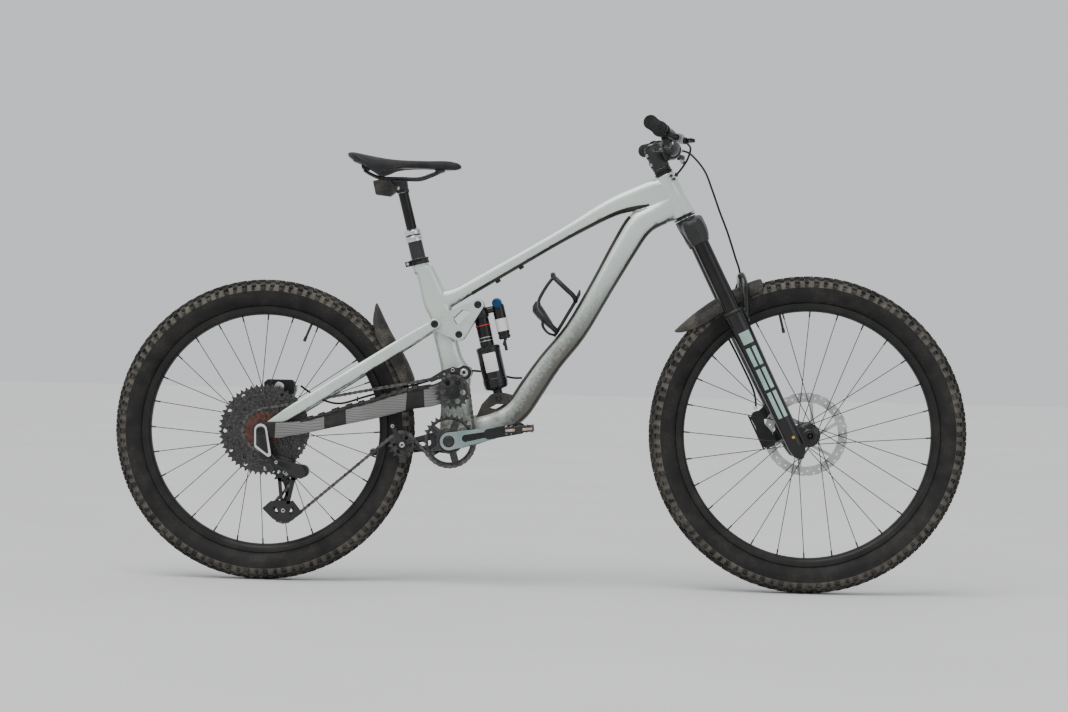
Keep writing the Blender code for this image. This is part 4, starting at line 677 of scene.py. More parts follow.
geos = [spar(TT), spar(DT), spar(ST), lathe([(21, 592), (28.5, 592), (27.5, 606), (24, 640), (23.4, 700), (21, 700)], S0, SU, 48, ring=True), rod(seat(0), DU, 19.6, -24, 9, 40), yrod(CRANK, 31, -36, 36, 40), yrod(ROCK, 13, -23.6, 23.6), yrod(MAIN, 16, -24.6, 24.6)]
fr = fused("frame_moulding", "frame", ["main_frame"], geos, PAINT, 2.2, 6)
dt_mid = cover(DT, -math.pi + 0.85, -0.90, 1.1, 2.4, 15, i0=3, i1=43)
# dark strip along the top of the down tube: partly black paint, partly painted shade in the hollow there
dt_top_paint_and_shade = cover(DT, math.pi / 2 - 0.75, math.pi / 2 + 0.75, 0.9, 2.0, 13, i0=8, i1=36)
tt_under = cover(TT, -math.pi + 0.62, -0.62, 0.9, 2.0, 15, i0=5, i1=26)
parts = [(dt_mid, DARKP), (dt_top_paint_and_shade, DARKP), (tt_under, DARKP), (plate(EAR, [EAR_HOLE], 14.6, 24), DARKP), (plate(EAR, [EAR_HOLE], -24, -14.6), DARKP)]
for q in ((296, 978), (303, 970)):
    parts.append((rod(V(q[0], -27.6, q[1]), (0.25, -1, 0), 3.4, -3, 1.2, 20), GLOSS))
TTN = V(0.5299, 0, -0.848)
for c in (V(-108.2, 0, 722.2), V(-53.9, 0, 756.1)):
    parts.append((lathe([(3, 5.9), (5.9, 5.9), (6.4, 4), (6.4, -6)], c, TTN, 24), ANOD))
    parts.append((lathe([(0, 3), (3, 3), (3, 5.9)], c, TTN, 6), STEEL))
for s in (-1, 1):
    parts += bolt(SHOCK_LOW, s * 24.2, s, 8.5, ANOD, 3)
    parts += bolt(ROCK, s * 33.4, s, 8.5, ANOD, 3)
# port of the rear hose and two vents on the head tube
parts.append((rod(V(308, -28.5, 980), (0.3, 0.1, 0.9), 4.2, -4, 4, 16), GUARD))
emit("frame_trim", "frame", [], parts, 0.35)
emit("headset_cups", "frame", ["headset"], [(lathe([(15.5, 586.4), (26.4, 586.4), (27, 587), (27, 589), (26.4, 589.6), (20, 589.6), (20, 702.4), (22, 702.4), (22.5, 703.2), (22.5, 705.4), (21.6, 706), (15.5, 706)], S0, SU, 48, ring=True), ANOD)], 0.2)
emit("bottom_bracket_cups", "frame", ["bottom_bracket"], [(lathe([(14.6, -42), (21, -42), (22, -41), (22, -37.4), (21.4, -36.4), (20, -36.4), (20, 36.4), (21.4, 36.4), (22, 37.4), (22, 41), (21, 42), (14.6, 42)], V(CRANK[0], 0, CRANK[1]), YA, 48, ring=True), ANOD)], 0.2)
clampp = prism([(-34, -7), (-21, -7), (-21, 7), (-34, 7)], [], seat(1), (SEAT_U[1], 0, -SEAT_U[0]), YA, (SEAT_U[0], 0, SEAT_U[1]), -6, 6)
emit("seat_clamp", "frame", ["seatpost_clamp"], [(lathe([(19.8, -6), (22.6, -6), (23.4, -5), (23.4, -2), (22.4, -1), (22.4, 3), (23.4, 4), (23.4, 7), (22.6, 8), (19.8, 8)], seat(0), DU, 48, ring=True), ANOD), (clampp, ANOD), (rod(seat(1, -28), YA, 3.6, -9, 9, 20), STEEL)], 0.4)
emit("dropper_tube_and_collar", "frame", ["dropper_outer_tube"], [(lathe([(0, -20), (17.1, -20), (17.1, 48)], seat(0), DU, 48), SATIN),
     (lathe([(17.1, 49), (19.3, 49.5), (19.6, 51), (19.6, 61), (18.8, 62.5)], seat(0), DU, 48), SILVER), (lathe([(18.8, 62.5), (18.2, 63.5), (18.2, 65), (18.8, 66)], seat(0), DU, 48), GLOSS),
     (lathe([(18.8, 66), (19.6, 67), (19.6, 75), (18, 77.5), (15.5, 79), (13.2, 79), (13.2, 60)], seat(0), DU, 48), SILVER)], 0.0, 30, fix=False)

# bottle cage
CU, CN = V(-0.4926, 0, -0.8703), V(-0.8703, 0, 0.4926)
CO = V(92, 0, 685) + CN * 5.5


def cg(t, d, y):
    return CO + CU * t + CN * d + V(0, y, 0)


base = prism([(-3, -11), (112, -11), (112, 11), (-3, 11)], [[(30, -5), (85, -5), (85, 5), (30, 5)]], CO, CU, YA, CN, 0.5, 5)
rings_ = []
for s in (1, -1):
    rings_.append(pipe(smooth([cg(14, 3, 8 * s), cg(6, 14, 30 * s), cg(0, 40, 39 * s), cg(-6, 66, 30 * s), cg(-8, 77, 10 * s)], 6), 5.6, 14))
    rings_.append(pipe(smooth([cg(-8, 77, 12 * s), cg(14, 80, 17 * s), cg(48, 80, 18 * s), cg(66, 76, 20 * s)], 6), 3.4, 12))
    rings_.append(pipe(smooth([cg(64, 77, 20 * s), cg(78, 66, 30 * s), cg(86, 44, 38 * s), cg(94, 22, 36 * s), cg(98, 5, 16 * s)], 6), 6.4, 14))
    rings_.append(pipe(smooth([cg(86, 48, 37 * s), cg(104, 40, 34 * s), cg(112, 20, 26 * s), cg(108, 4, 10 * s)], 6), 2.8, 12))
rings_.append(pipe(smooth([cg(-8, 77, 12), cg(-12, 81, 0), cg(-8, 77, -12)], 4), 6.4, 14))
lip = loft([oval(cg(t, d, 0), CU, YA, w, h, 24, 3) for t, d, w, h in ((70, 84, 8, 18), (74, 78, 14, 26), (80, 62, 14, 32), (88, 40, 11, 33), (93, 24, 8, 28))])
tab = loft([oval(cg(t, d, 0), CN, YA, w, h, 20, 3) for t, d, w, h in ((-14, 8, 2.0, 6), (-6, 5, 4, 10), (10, 3.4, 4, 12), (104, 3.4, 4, 12), (112, 4, 2.4, 8))])
rings_.append(tab)
emit("bottle_cage_hoops", "frame", ["bottle_cage"], [(base, SATIN), (merge(rings_ + [lip]), SATIN), (rod(cg(18, 0, 0), CN, 4.6, 5, 7.5, 24), STEEL), (rod(cg(96, 0, 0), CN, 4.6, 5, 7.5, 24), STEEL)], 0.6)

# idler bracket, guide plate and main axle
parts = [(plate(hull([(IDLER, 11), (MAIN, 13), ((-206, 504.5), 7)]), [], -44.6, -41), SATIN), (yrod(IDLER, 6, -57, -42), STEEL), (lathe([(0, -58.6), (4, -58.6), (4.4, -57.2), (8.5, -57.2), (9.3, -56.4), (9.3, -55.2), (0, -55.2)], V(IDLER[0], 0, IDLER[1]), YA, 36), ANOD),
         (yrod(MAIN, 8, -44, 40.6), ANOD), (yrod((-206, 507.5), 4, -60, -42, 20), ANOD)]
guide_top = [(-258, 488), (-262, 482), (-256, 477), (-233, 487), (-212, 499.5), (-196, 502.5), (-192, 511), (-206, 515), (-232, 505)]
parts.append((plate(guide_top, [circle((-226, 497), 2.6, 12), circle((-240, 490), 2.2, 12)], -60, -57.8), SATIN))
parts += bolt((-206, 507.5), -60.2, -1, 5.0, STEEL, 2) + bolt(MAIN, -45.2, -1, 9.5, STEEL, 3) + bolt(MAIN, 44.2, 1, 11, ANOD, 4)
emit("idler_bracket_and_axle", "frame", ["idler_bracket_and_main_axle"], parts, 0.4)
JO = (-345, 372)
web = hull([(LOW_IDLER, 7), (JO, 3.6)])
parts = [(plate(hull([(CRANK, 30), (LOW_IDLER, 9)]), [circle(CRANK, 22.6, 40), hull([((-262, 335), 8), ((-285, 332), 5)])], -45.4, -42.3), SATIN), (yrod(LOW_IDLER, 5, -56.5, -43), STEEL), (plate(web, [], -58.5, -55.8), SATIN), (yrod(JO, 3.5, -57, -43.5, 16), STEEL), (plate(hull([(LOW_IDLER, 9), (JO, 5)]), [], -45.4, -42.3), SATIN)]
parts += bolt(LOW_IDLER, -58.8, -1, 6.5, STEEL, 2) + bolt(JO, -58.8, -1, 4.0, STEEL, 2)
emit("lower_idler_guide", "frame", ["lower_idler_bracket"], parts, 0.4)

# ---------------------------------------------------------------- swingarm
for s, nm in ((-1, "right"), (1, "left")):
    secs = [(a, b, c, d, h, s * y) for a, b, c, d, h, y in [(-190, 516, -178, 488, 6.3, 33), (-222, 490, -201, 452, 6.8, 32.2), (-252, 473, -240, 424, 7.3, 35), (-300, 463, -303, 412, 8, 45), (-350, 449, -347, 399, 8, 48), (-400, 431, -397, 386, 8, 50), (-456, 415, -454, 373, 8, 54),
            (-520, 392, -519, 357, 7.5, 63), (-560, 381, -562, 347, 6.5, 72), (-585, 378, -587, 343, 4.5, 80.5), (-606, 377, -608, 338, 2.8, 84.2), (-651.5, 376, -651.5, 335, 2.8, 84.2)]]
    geo = [spar(secs, 24, 3.0), yrod(MAIN, 17, *sorted((s * 25.5, s * 40))), yrod(AXLE_R, 20, *sorted((s * 81.4, s * 87)))]
    if s < 0:
        geo.append(prism([(-284, 434), (-246, 436), (-246, 462), (-284, 462)], [], V(0, 0, 0), (1, 0, 0), (0, 0, 1), YA, -38, 38))
    fused("chainstay_" + nm, "swingarm", ["chainstay"] if s < 0 else [], geo, GUARD, 1.8, 4)
    lo, hi = (math.pi - 0.95, math.pi + 0.95) if s < 0 else (-0.95, 0.95)
    lo, hi = (math.pi - 0.86, math.pi + 1.15) if s < 0 else (-1.15, 0.86)
    trim = [(cover(secs, lo, hi, 0.9, 1.6, 13, 3.0, i0=a_, i1=b_), WOOD) for a_, b_ in ((5, 11), (13, 25), (27, 42))]
    trim.append((cover(secs, 0.55, math.pi - 0.55, 2.2, 3.0, 13, 3.0, i0=9, i1=33), GUARD))
    if s < 0:
        for k in range(11, 31, 2):
            trim.append((cover(secs, 0.6, math.pi - 0.6, 5.4, 4.0, 9, 3.0, i0=k, i1=k + 2), GUARD))
    trim += bolt(AXLE_R, s * (97.6 if s < 0 else 90.7), s, 8.5, STEEL if s > 0 else ANOD, 3)
    emit("chainstay_trim_" + nm, "swingarm", [], trim, 0.4)
emit("rear_through_axle", "swingarm", ["rear_axle"], [(yrod(AXLE_R, 6, -97, 90), STEEL), (yrod(AXLE_R, 9.5, -97, -93.8), ANOD), (yrod(AXLE_R, 9.5, 87.4, 90), ANOD)], 0.4)
HL = [((-650.5, 356), 15), ((-657.5, 320), 7), ((-631, 300), 6)]
LW = [((-650.5, 354), 11), ((-657, 322), 3.4), ((-634, 304), 3)]
emit("derailleur_hanger_loop", "swingarm", ["derailleur_mount"],
     [(plate(hull(HL), [circle(AXLE_R, 6.6, 30)], -92.4, -87.6), SATIN), (plate(hull(HL), [hull(LW)], -94.4, -91.6), SILVER), (plate(hull([((-648, 334), 6), ((-640, 314), 6)]), [], -93.4, -92), GLOSS), (yrod((-641, 298), 11, -91, -70), ANOD)] + bolt(AXLE_R, -95.6, -1, 9, ANOD, 3), 0.5)


def fender(c, R, prof, steps=40):
    """Arched guard: rows of (angle, height of the middle, half width, how far the sides come down)."""
    rings = []
    o = V(c[0], 0, c[1])
    for a, h, half, drop in dense(prof, 6):
        d = V(math.cos(math.radians(a)), 0, math.sin(math.radians(a)))
        qs = [-1 + j / 9 for j in range(19)]
        rings.append([o + d * (R + h - drop * abs(q) ** 2.2 + 0.9 * math.cos(5 * math.pi * q)) + V(0, half * math.sin(q * math.pi / 2), 0) for q in qs] + [o + d * (R + h - 1.8 - drop * abs(q) ** 2.2 + 0.9 * math.cos(5 * math.pi * q)) + V(0, (half - 1.4) * math.sin(q * math.pi / 2), 0) for q in reversed(qs)])
    return loft(rings)


emit("rear_fender", "swingarm", ["rear_mudguard"], [(fender(AXLE_R, TR, [(19.5, 18, 34, 20), (21, 19, 37, 30), (27, 19, 37.5, 31), (34, 19, 37.5, 31), (39, 22, 36, 32), (43, 28, 32, 30), (46.5, 36, 22, 24), (49.2, 43, 8, 8), (49.9, 44.5, 2.5, 2)]), MUDP), (pipe([(-330, -20, 520), (-300, -30, 462)], 2.4, 12), GUARD), (pipe([(-330, 20, 520), (-300, 30, 462)], 2.4, 12), GUARD)], 0)

# rear derailleur
BODY = [(-630, 303), (-600, 296), (-571, 288), (-552, 284), (-545, 276), (-543, 264), (-553, 243), (-570, 238), (-584, 240), (-606, 248), (-622, 262), (-640, 280)]
emit("derailleur_body", "derailleur", ["derailleur_parallelogram"],
     [(plate(hull([((-617, 280), 10), ((-566, 266), 13)]), [hull([((-604, 278), 4), ((-584, 272), 4)])], -84, -66), GLOSS), (plate(hull([((-566, 262), 17), ((-551, 262), 15)]), [], -83, -60.4), GLOSS),
      (plate(hull([((-610, 280), 9), ((-562, 264), 14), ((-556, 256), 12)]), [], -87, -83.5), SATIN), (plate(hull([((-606, 279), 5), ((-585, 272), 5.5)]), [], -88, -86.6), ANOD)] + bolt(CAGE, -84, -1, 8, STEEL, 2) + bolt((-613, 281), -88, -1, 4.0, STEEL, 2), 1.4, segs=3)
lk = emit("derailleur_links", None, [], [(pipe([(-637, -78, 296), (-612, -76, 281)], 6.5, 16), SATIN), (pipe([(-630, -88, 303), (-614, -84, 287)], 3.2, 12), SATIN)], 0.0)
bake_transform(lk)
parts = [(plate(hull([(CAGE, 11), ((-575, 243), 5)]), [], -57.5, -55), SATIN), (plate(hull([((-575, 243), 4.6), ((-586.5, 186), 4.2)]), [], -57.5, -55), SATIN), (plate(hull([(GUIDE, 10), ((-608, 240), 4.6), (CAGE, 8)]), [hull([((-590, 252), 2.5), ((-598, 246), 2.5)])], -57.5, -55), SATIN), (plate(hull([((-608, 240), 4.4), ((-603.5, 196), 4.0)]), [], -57.5, -55), SATIN),
         (plate(hull([((-644, 171), 2.5), ((-626, 184), 5), ((-577, 184), 6), ((-556, 163), 3), ((-588, 143), 4), ((-620, 150), 4)]), [hull([((-618, 172), 3.5), ((-613, 163), 3.5)]), hull([((-576, 172), 3.5), ((-580, 162), 3.5)])], -57.5, -55), SATIN),
         (plate(hull([(GUIDE, 9), ((-590, 205), 6)]), [], -36.6, -34.6), SATIN), (plate(hull([((-590, 205), 6), (TENSION, 11)]), [], -36.6, -34.6), SATIN), (yrod(CAGE, 9, -59.5, -55.2), ANOD), (yrod(GUIDE, 4, -56, -35.5, 20), STEEL), (yrod(TENSION, 4, -56, -35.5, 20), STEEL)]
parts += bolt(GUIDE, -57.8, -1, 5, STEEL, 2) + bolt(TENSION, -57.8, -1, 5, STEEL, 2)
emit("derailleur_cage_plates", "derailleur_cage", ["derailleur_cage"], parts, 0.4)

# ---------------------------------------------------------------- seatstays
SD, SNRM, A0 = V(0.839, 0, 0.5447), V(-0.5447, 0, 0.839), V(AXLE_R[0], 0, AXLE_R[1])
rows = [(4, 77.7, 2.9, 8), (52, 77.7, 2.9, 12), (90, 76, 6.5, 14), (200, 69, 7.5, 14.5), (300, 59, 7.5, 14.5), (360, 51, 7, 14.5), (410, 44, 6, 14), (445, 39.5, 5.2, 13), (475.5, 38.2, 4.8, 11)]
geo = []
for s in (-1, 1):
    geo += [loft([oval(A0 + SD * t + V(0, s * y, 0), YA, SNRM, hw, hh, 24, 3.0) for t, y, hw, hh in dense(rows, 5)]), yrod(AXLE_R, 14, *sorted((s * 74.8, s * 80.7))), yrod(STAY, 13, *sorted((s * 33.4, s * 43)))]
geo.append(prism([(383, -8), (397, -8), (397, 8), (383, 8)], [], A0, SD, SNRM, V(0, 1, 0), -46, 46))
geo.append(plate(hull([((-618, 384), 9), ((-592, 452), 6), ((-652, 452), 6)]), [circle((-622, 430), 8, 16)], 70.6, 77))
fused("seatstays", "seatstay", ["seatstay"], geo, PAINT2, 1.6, 3)
parts = []
for s in (-1, 1):
    parts += bolt(STAY, s * 44.2, s, 9, ANOD, 3)
    parts.append((yrod(STAY, 7, *sorted((s * 26, s * 43)), 24), ANOD))
emit("seatstay_bolts", "seatstay", [], parts, 0.3)
parts = [(prism([(-662, 440), (-592, 440), (-590, 446), (-590, 468), (-598, 474), (-655, 474), (-664, 466)], [], V(0, 0, 0), (1, 0, 0), (0, 0, 1), YA, 44, 54.8), ANOD), (prism([(-662, 440), (-592, 440), (-590, 446), (-590, 468), (-598, 474), (-655, 474), (-664, 466)], [], V(0, 0, 0), (1, 0, 0), (0, 0, 1), YA, 59.4, 70.2), ANOD),
         (prism([(-660, 462), (-594, 462), (-598, 473), (-655, 473)], [], V(0, 0, 0), (1, 0, 0), (0, 0, 1), YA, 53, 61), ANOD), (yrod((-627, 456), 12, 43, 44.6), SILVER), (yrod((-627, 456), 12, 69.6, 71), SILVER), (rod(V(-586, 58, 461), (1, 0, 0.1), 4, -6, 2, 20), SILVER),
         (prism([(-645, 445), (-610, 445), (-610, 468), (-645, 468)], [], V(0, 0, 0), (1, 0, 0), (0, 0, 1), YA, 55.0, 55.9), STEEL), (prism([(-645, 445), (-610, 445), (-610, 468), (-645, 468)], [], V(0, 0, 0), (1, 0, 0), (0, 0, 1), YA, 58.3, 59.2), STEEL)]
emit("rear_caliper_body", "seatstay", ["rear_brake_caliper"], parts, 0.9, segs=3)

# ---------------------------------------------------------------- rocker and shock
TRI, HOLE = hull([(ROCK, 15), (STAY, 14), (SHOCK_TOP, 14)]), hull([((-207, 629), 3), ((-188, 646.5), 3.4), ((-171.5, 646), 3), ((-200.5, 618.5), 3.4)], 16)
parts = []
for s in (-1, 1):
    y0, y1 = sorted((s * 24.4, s * 32.6))
    parts.append((plate(TRI, [HOLE], y0, y1), PAINT2))
    parts += bolt(SHOCK_TOP, s * 33.4, s, 9, ANOD, 3)
parts += [(pipe([(-170, -26, 630), (-170, 26, 630)], 4.5, 20), PAINT2), (yrod(ROCK, 6, -26, 26), ANOD)]
emit("rocker_plates", "rocker", ["rocker_link"], parts, 1.6, segs=3)
STp, SB = V(SHOCK_TOP[0], 0, SHOCK_TOP[1]), V(SHOCK_LOW[0], 0, SHOCK_LOW[1])
SHD = (SB - STp).normalized()
can = lathe([(17.4, 101.5), (23.5, 100), (26, 100.8), (28.4, 103), (29, 105), (29, 110), (28.2, 111), (28.2, 178), (29, 179), (29, 192), (28.2, 193), (28.2, 198), (25, 203), (14, 206), (0, 207)], STp, SHD, 56)
lab = lathe([(28.35, 117), (28.45, 117.3), (28.45, 161.7), (28.35, 162)], STp, SHD, 56)
labf = [f for f in lab[1]]
u_, v_, w_ = basis(SHD)
sel = []
for f in lab[1]:
    c = sum((Vector(lab[0][i]) for i in f), Vector()) / len(f)
    r_ = c - STp
    if abs(r_.y) > 24.5:
        sel.append(f)
emit("shock_can_body", "shock_can", ["shock_air_can"], [(can, GLOSS), ((lab[0], sel), WHITE), (lathe([(5.6, -14), (12, -14), (13, -13), (13, 13), (12, 14), (5.6, 14)], V(SHOCK_LOW[0], 0, SHOCK_LOW[1]), YA, 40, ring=True), ANOD), (rod(STp, SHD, 11, 205, 220), ANOD),
     (rod(V(-87, -3, 574), SHD, 3.6, -6, 18, 16), GLOSS), (rod(V(-92, -3, 571), (0.97, 0, 0.24), 4, 0, 7, 16), GLOSS)], 0.0, 30)
RES0 = V(-106, -2, 660.8)
RD = SHD
parts = [(lathe([(0, 5), (15, 7), (19, 11), (20, 16), (20, 28), (18.5, 32), (17.2, 33)], STp, SHD, 48), GLOSS), (lathe([(14.0, 33), (16.9, 33), (16.9, 124), (0, 125)], STp, SHD, 48), COAT), (lathe([(17, 48.6), (18.2, 49), (18.5, 50), (18.2, 51), (17, 51.4)], STp, SHD, 40), RED), (lathe([(16.95, 78), (17.15, 78.4), (17.15, 79.6), (16.95, 80)], STp, SHD, 40), STEEL), (lathe([(16.95, 86), (17.15, 86.4), (17.15, 87.6), (16.95, 88)], STp, SHD, 40), STEEL),
         (yrod(SHOCK_TOP, 13, -23.6, 23.6), ANOD), (lathe([(0, -5), (11, -5), (14, -2), (14.5, 1), (14.5, 66), (13.4, 67), (13.4, 70), (14.5, 71), (14.5, 76), (12, 79), (0, 79)], RES0, RD, 40), GLOSS), (pipe([STp + SHD * 16, V(-128, -1, 651), RES0 + SHD * 4], 8, 20), GLOSS), (rod(RES0, RD, 4, 79, 83, 16), ANOD),
         (lathe([(0, -24.5), (9, -24.5), (11, -23), (11, -17), (10, -16), (10, 4), (0, 4)], V(-108, 0, 668), YA, 32), BLUE), (lathe([(11.4, -14), (12.2, -14), (12.2, -8), (11.4, -8)], V(-108, 0, 668), YA, 32), ANOD)]
lab = lathe([(14.6, 30), (14.72, 30.2), (14.72, 59.8), (14.6, 60)], RES0, RD, 48)
sel = [f for f in lab[1] if (sum((Vector(lab[0][i]) for i in f), Vector()) / len(f)).y < -8]
parts.append(((lab[0], sel), WHITE))
emit("shock_damper_body", "shock_damper", ["shock_damper"], parts, 0.0, 30)

# ---------------------------------------------------------------- fork
rows = [(-90, 530, 568, -10, 20), (-84, 516, 576, -18, 29), (-66, 514, 579, -20, 33), (-50, 524, 580, -20, 36), (-33, 553, 581, -24, 37), (-22, 560, 581, -24, 37), (22, 560, 581, -24, 37), (33, 553, 581, -24, 37), (50, 524, 580, -20, 36), (66, 514, 579, -20, 33), (84, 516, 576, -18, 29), (90, 530, 568, -10, 20)]
geo = [loft([oval(sp((a0 + a1) / 2, (r0 + r1) / 2, y), SU, SN, (a1 - a0) / 2, (r1 - r0) / 2, 28, 3.4) for y, a0, a1, r0, r1 in rows]), rod(S0, SU, 26, 566, 584)]
for s in (-1, 1):
    geo.append(rod(sp(0, 5, s * 71.5), SU, 22.5, 515, 566, 40))
fused("fork_crown", "steering", ["fork_crown_and_stanchions"], geo, SATIN, 1.8, 4)
parts = [(rod(S0, SU, 14.8, 575, 774), STEEL)]
for s in (-1, 1):
    parts.append((rod(sp(0, 5, s * 71.5), SU, 19, 170, 520, 48), COAT))
parts.append((lathe([(0, 563), (14, 566), (15, 574), (13, 579), (0, 580)], sp(0, 5, -71.5), SU, 32), ANOD))
parts.append((lathe([(0, 563), (14, 566), (15, 574), (13, 579), (0, 580)], sp(0, 5, 71.5), SU, 32), BLUE))
emit("stanchions", "steering", [], parts, 0.2)
geo = []
for s in (-1, 1):
    o = sp(0, 5, s * 71.5)
    geo.append(lathe([(0, -37.5), (10, -37), (16, -30), (20.4, -10), (21, 40), (22.2, 200), (24.3, 318), (24.3, 334), (0, 334)], o, SU, 48))
    f0, f1 = sp(-14, 4), sp(38, 4)
    geo += [yrod(AXLE_F, 15, *sorted((s * 55.6, s * 83.8))), plate(hull([(AXLE_F, 14.5), ((f0.x, f0.z), 12), ((f1.x, f1.z), 12)]), [], *sorted((s * 58, s * 81)))]
for a0 in (22, 86):
    q0, q1, q2 = sp(a0, -42), sp(a0 - 12, -6), sp(a0 + 12, -6)
    geo.append(plate(hull([((q0.x, q0.z), 8), ((q1.x, q1.z), 8), ((q2.x, q2.z), 8)]), [], 58.4, 68))
arch = [(296, 19, -71, 10, 8), (336, 40, -65, 8.5, 7), (376, 55, -48, 15, 9.5), (400, 61, -24, 13, 9.5), (402, 62, 0, 11, 9), (400, 61, 24, 13, 9.5), (376, 55, 48, 15, 9.5), (336, 40, 65, 8.5, 7), (296, 19, 71, 10, 8)]
geo.append(loft([oval(sp(a, r, y), V(0, y / 60, 0) + SU, SN, w, h, 24, 3) for a, r, y, w, h in dense(arch, 5)]))
fused("fork_lower_casting", "fork_lowers", ["fork_lowers"], geo, GLOSS, 1.8, 3)
parts = []
for s in (-1, 1):
    o = sp(0, 5, s * 71.5)
    parts.append((lathe([(19.4, 334), (24.6, 334), (25, 335), (25, 338), (23, 340.5), (19.4, 341)], o, SU, 48, ring=True), SATIN))
    parts.append((lathe([(0, -41), (6, -41), (7, -40), (7, -36), (0, -36)], o, SU, 24), ANOD))
    # pale bars down the outside of each leg
    bars = [(286, 256, -0.5, 0.62)]
    for a_, b_ in ((246, 200), (192, 140), (132, 66)):
        bars += [(a_, b_, -0.52, -0.08), (a_, b_, 0.14, 0.58)]
    for a0, a1, h0, h1 in bars:
        rings = []
        for q in (0, 0.33, 0.66, 1):
            a = a0 + (a1 - a0) * q
            rr = 21.05 + (a - 40) * 1.2 / 160 if a < 200 else 22.25 + (a - 200) * 2.1 / 118
            ring = []
            for off in (0.42, 0.0):
                arc = [h0 + (h1 - h0) * j / 8 for j in range(9)]
                if off == 0.0:
                    arc = arc[::-1]
                for t in arc:
                    ring.append(o + SU * a + (V(0, s, 0) * math.cos(t) + SN * math.sin(t)) * (rr + off))
            rings.append(ring)
        parts.append((loft(rings), MINT))
    parts.append((rod(sp(14, 7, s * 92.2), (0, s, 0), 3.6, -0.9, 1.2, 24), GOLD if s < 0 else ANOD))
emit("fork_seals_and_blocks", "fork_lowers", [], parts, 0.0, 40)
emit("front_through_axle", "fork_lowers", ["front_axle"], [(yrod(AXLE_F, 7.4, -88, 88), ANOD), (lathe([(0, 91.5), (5, 91.5), (5.5, 90.6), (9.4, 90.6), (10, 89.8), (10, 84.2), (0, 84.2)], V(AXLE_F[0], 0, AXLE_F[1]), YA, 36), ANOD), (lathe([(4, -88), (8.5, -88), (9.5, -87), (9.5, -84.1), (4, -84.1)], V(AXLE_F[0], 0, AXLE_F[1]), YA, 36), ANOD)], 0.3)
CALO = [(p.x, p.z) for p in (sp(8, -52), sp(16, -60), sp(44, -62), sp(66, -56), sp(92, -58), sp(100, -48), sp(100, -36), sp(88, -28), sp(62, -34), sp(40, -27), sp(16, -27), sp(8, -34))]
cc = sp(52, -46)
parts = [(plate(CALO, [], 33, 44), ANOD), (plate(CALO, [], 49, 57.6), ANOD), (plate([(p.x, p.z) for p in (sp(8, -63), sp(98, -62), sp(98, -58), sp(8, -59))], [], 43, 50), ANOD), (yrod((cc.x, cc.z), 10, 31.8, 33.4), ANOD), (yrod((cc.x, cc.z), 10, 57, 58.4), ANOD),
         (pipe([sp(104, -38, 50), sp(111, -37, 50)], 4.2, 20), SILVER), (plate([(p.x, p.z) for p in (sp(30, -60), sp(76, -60), sp(76, -38), sp(30, -38))], [], 44, 45), STEEL)]
for a0 in (14, 94):
    q = sp(a0, -44)
    parts += bolt((q.x, q.z), 69, 1, 5, STEEL, 3)
emit("front_caliper_body", "fork_lowers", ["front_brake_caliper"], parts, 0.9, segs=3)
emit("front_fender", "fork_lowers", ["front_mudguard"], [(fender(AXLE_F, TF, [(108, 9.5, 30, 14), (110, 10.5, 34, 26), (118, 10.5, 37, 30), (126, 13, 37, 33), (133, 16, 35, 32), (138, 19, 28, 26), (142, 22, 14, 12), (143.4, 23.5, 3, 2)]), MUDP)], 0)

# ---------------------------------------------------------------- cockpit
BAR = sp(745, 40)
st = [(lathe([(15.4, 706.4), (19.5, 706.4), (20.6, 708), (20.6, 716), (15.4, 716)], S0, SU, 48, ring=True), ANOD), (lathe([(15.4, 717), (20, 717), (21, 719), (21, 769), (20, 771), (15.4, 771)], S0, SU, 48, ring=True), SATIN), (lathe([(0, 777), (6, 777), (16, 776), (18.5, 773.5), (18.5, 771.4), (0, 771.4)], S0, SU, 48), ANOD)]
st.append((loft([oval(sp(745, r), YA, SU, hw, hh, 28, 4) for r, hw, hh in ((14, 18, 20), (20, 20, 19.5), (27, 23, 19), (34, 24, 18))]), SATIN))
st.append((yrod((BAR.x, BAR.z), 21.5, -24, 24, 40), SATIN))
face = sp(745, 58)
for da in (-11, 11):
    for y in (-17, 17):
        st.append((rod(sp(745 + da, 59, y), SN, 3.6, -6, 1.8, 20), STEEL))
for da in (-12, 12):
    st.append((rod(sp(745 + da, -19), YA, 3.8, -13, 13, 20), STEEL))
    st.append((prism([(-22, -7), (-14, -7), (-14, 7), (-22, 7)], [], sp(745 + da, 0), SN, SU, YA, -11, 11), SATIN))
st.append((rod(S0, SU, 5.5, 776.5, 779, 24), STEEL))
emit("stem_clamp", "steering", ["stem"], st, 0.7)
END = V(237.5, 392, 1069)
B1 = V(262, 258, 1066)
half = [V(BAR.x, 0, BAR.z), V(BAR.x, 45, BAR.z), V(BAR.x - 1, 70, BAR.z + 5), V(BAR.x - 5, 120, BAR.z + 20), V(BAR.x - 10, 160, BAR.z + 25), B1, END + (B1 - END).normalized() * 6.5]
pr = [17.5, 17.5, 17.2, 13.6, 11.8, 11.05, 11]
rows = [(p.x, p.y, p.z, r) for p, r in zip(half, pr)]
rows = [(x, -y, z, r) for x, y, z, r in reversed(rows[1:])] + rows
dd = dense(rows, 8)
emit("handlebar_tube", "steering", ["handlebar"], [(pipe([V(*q[:3]) for q in dd], [q[3] for q in dd], 32), SATIN)], 0.0)
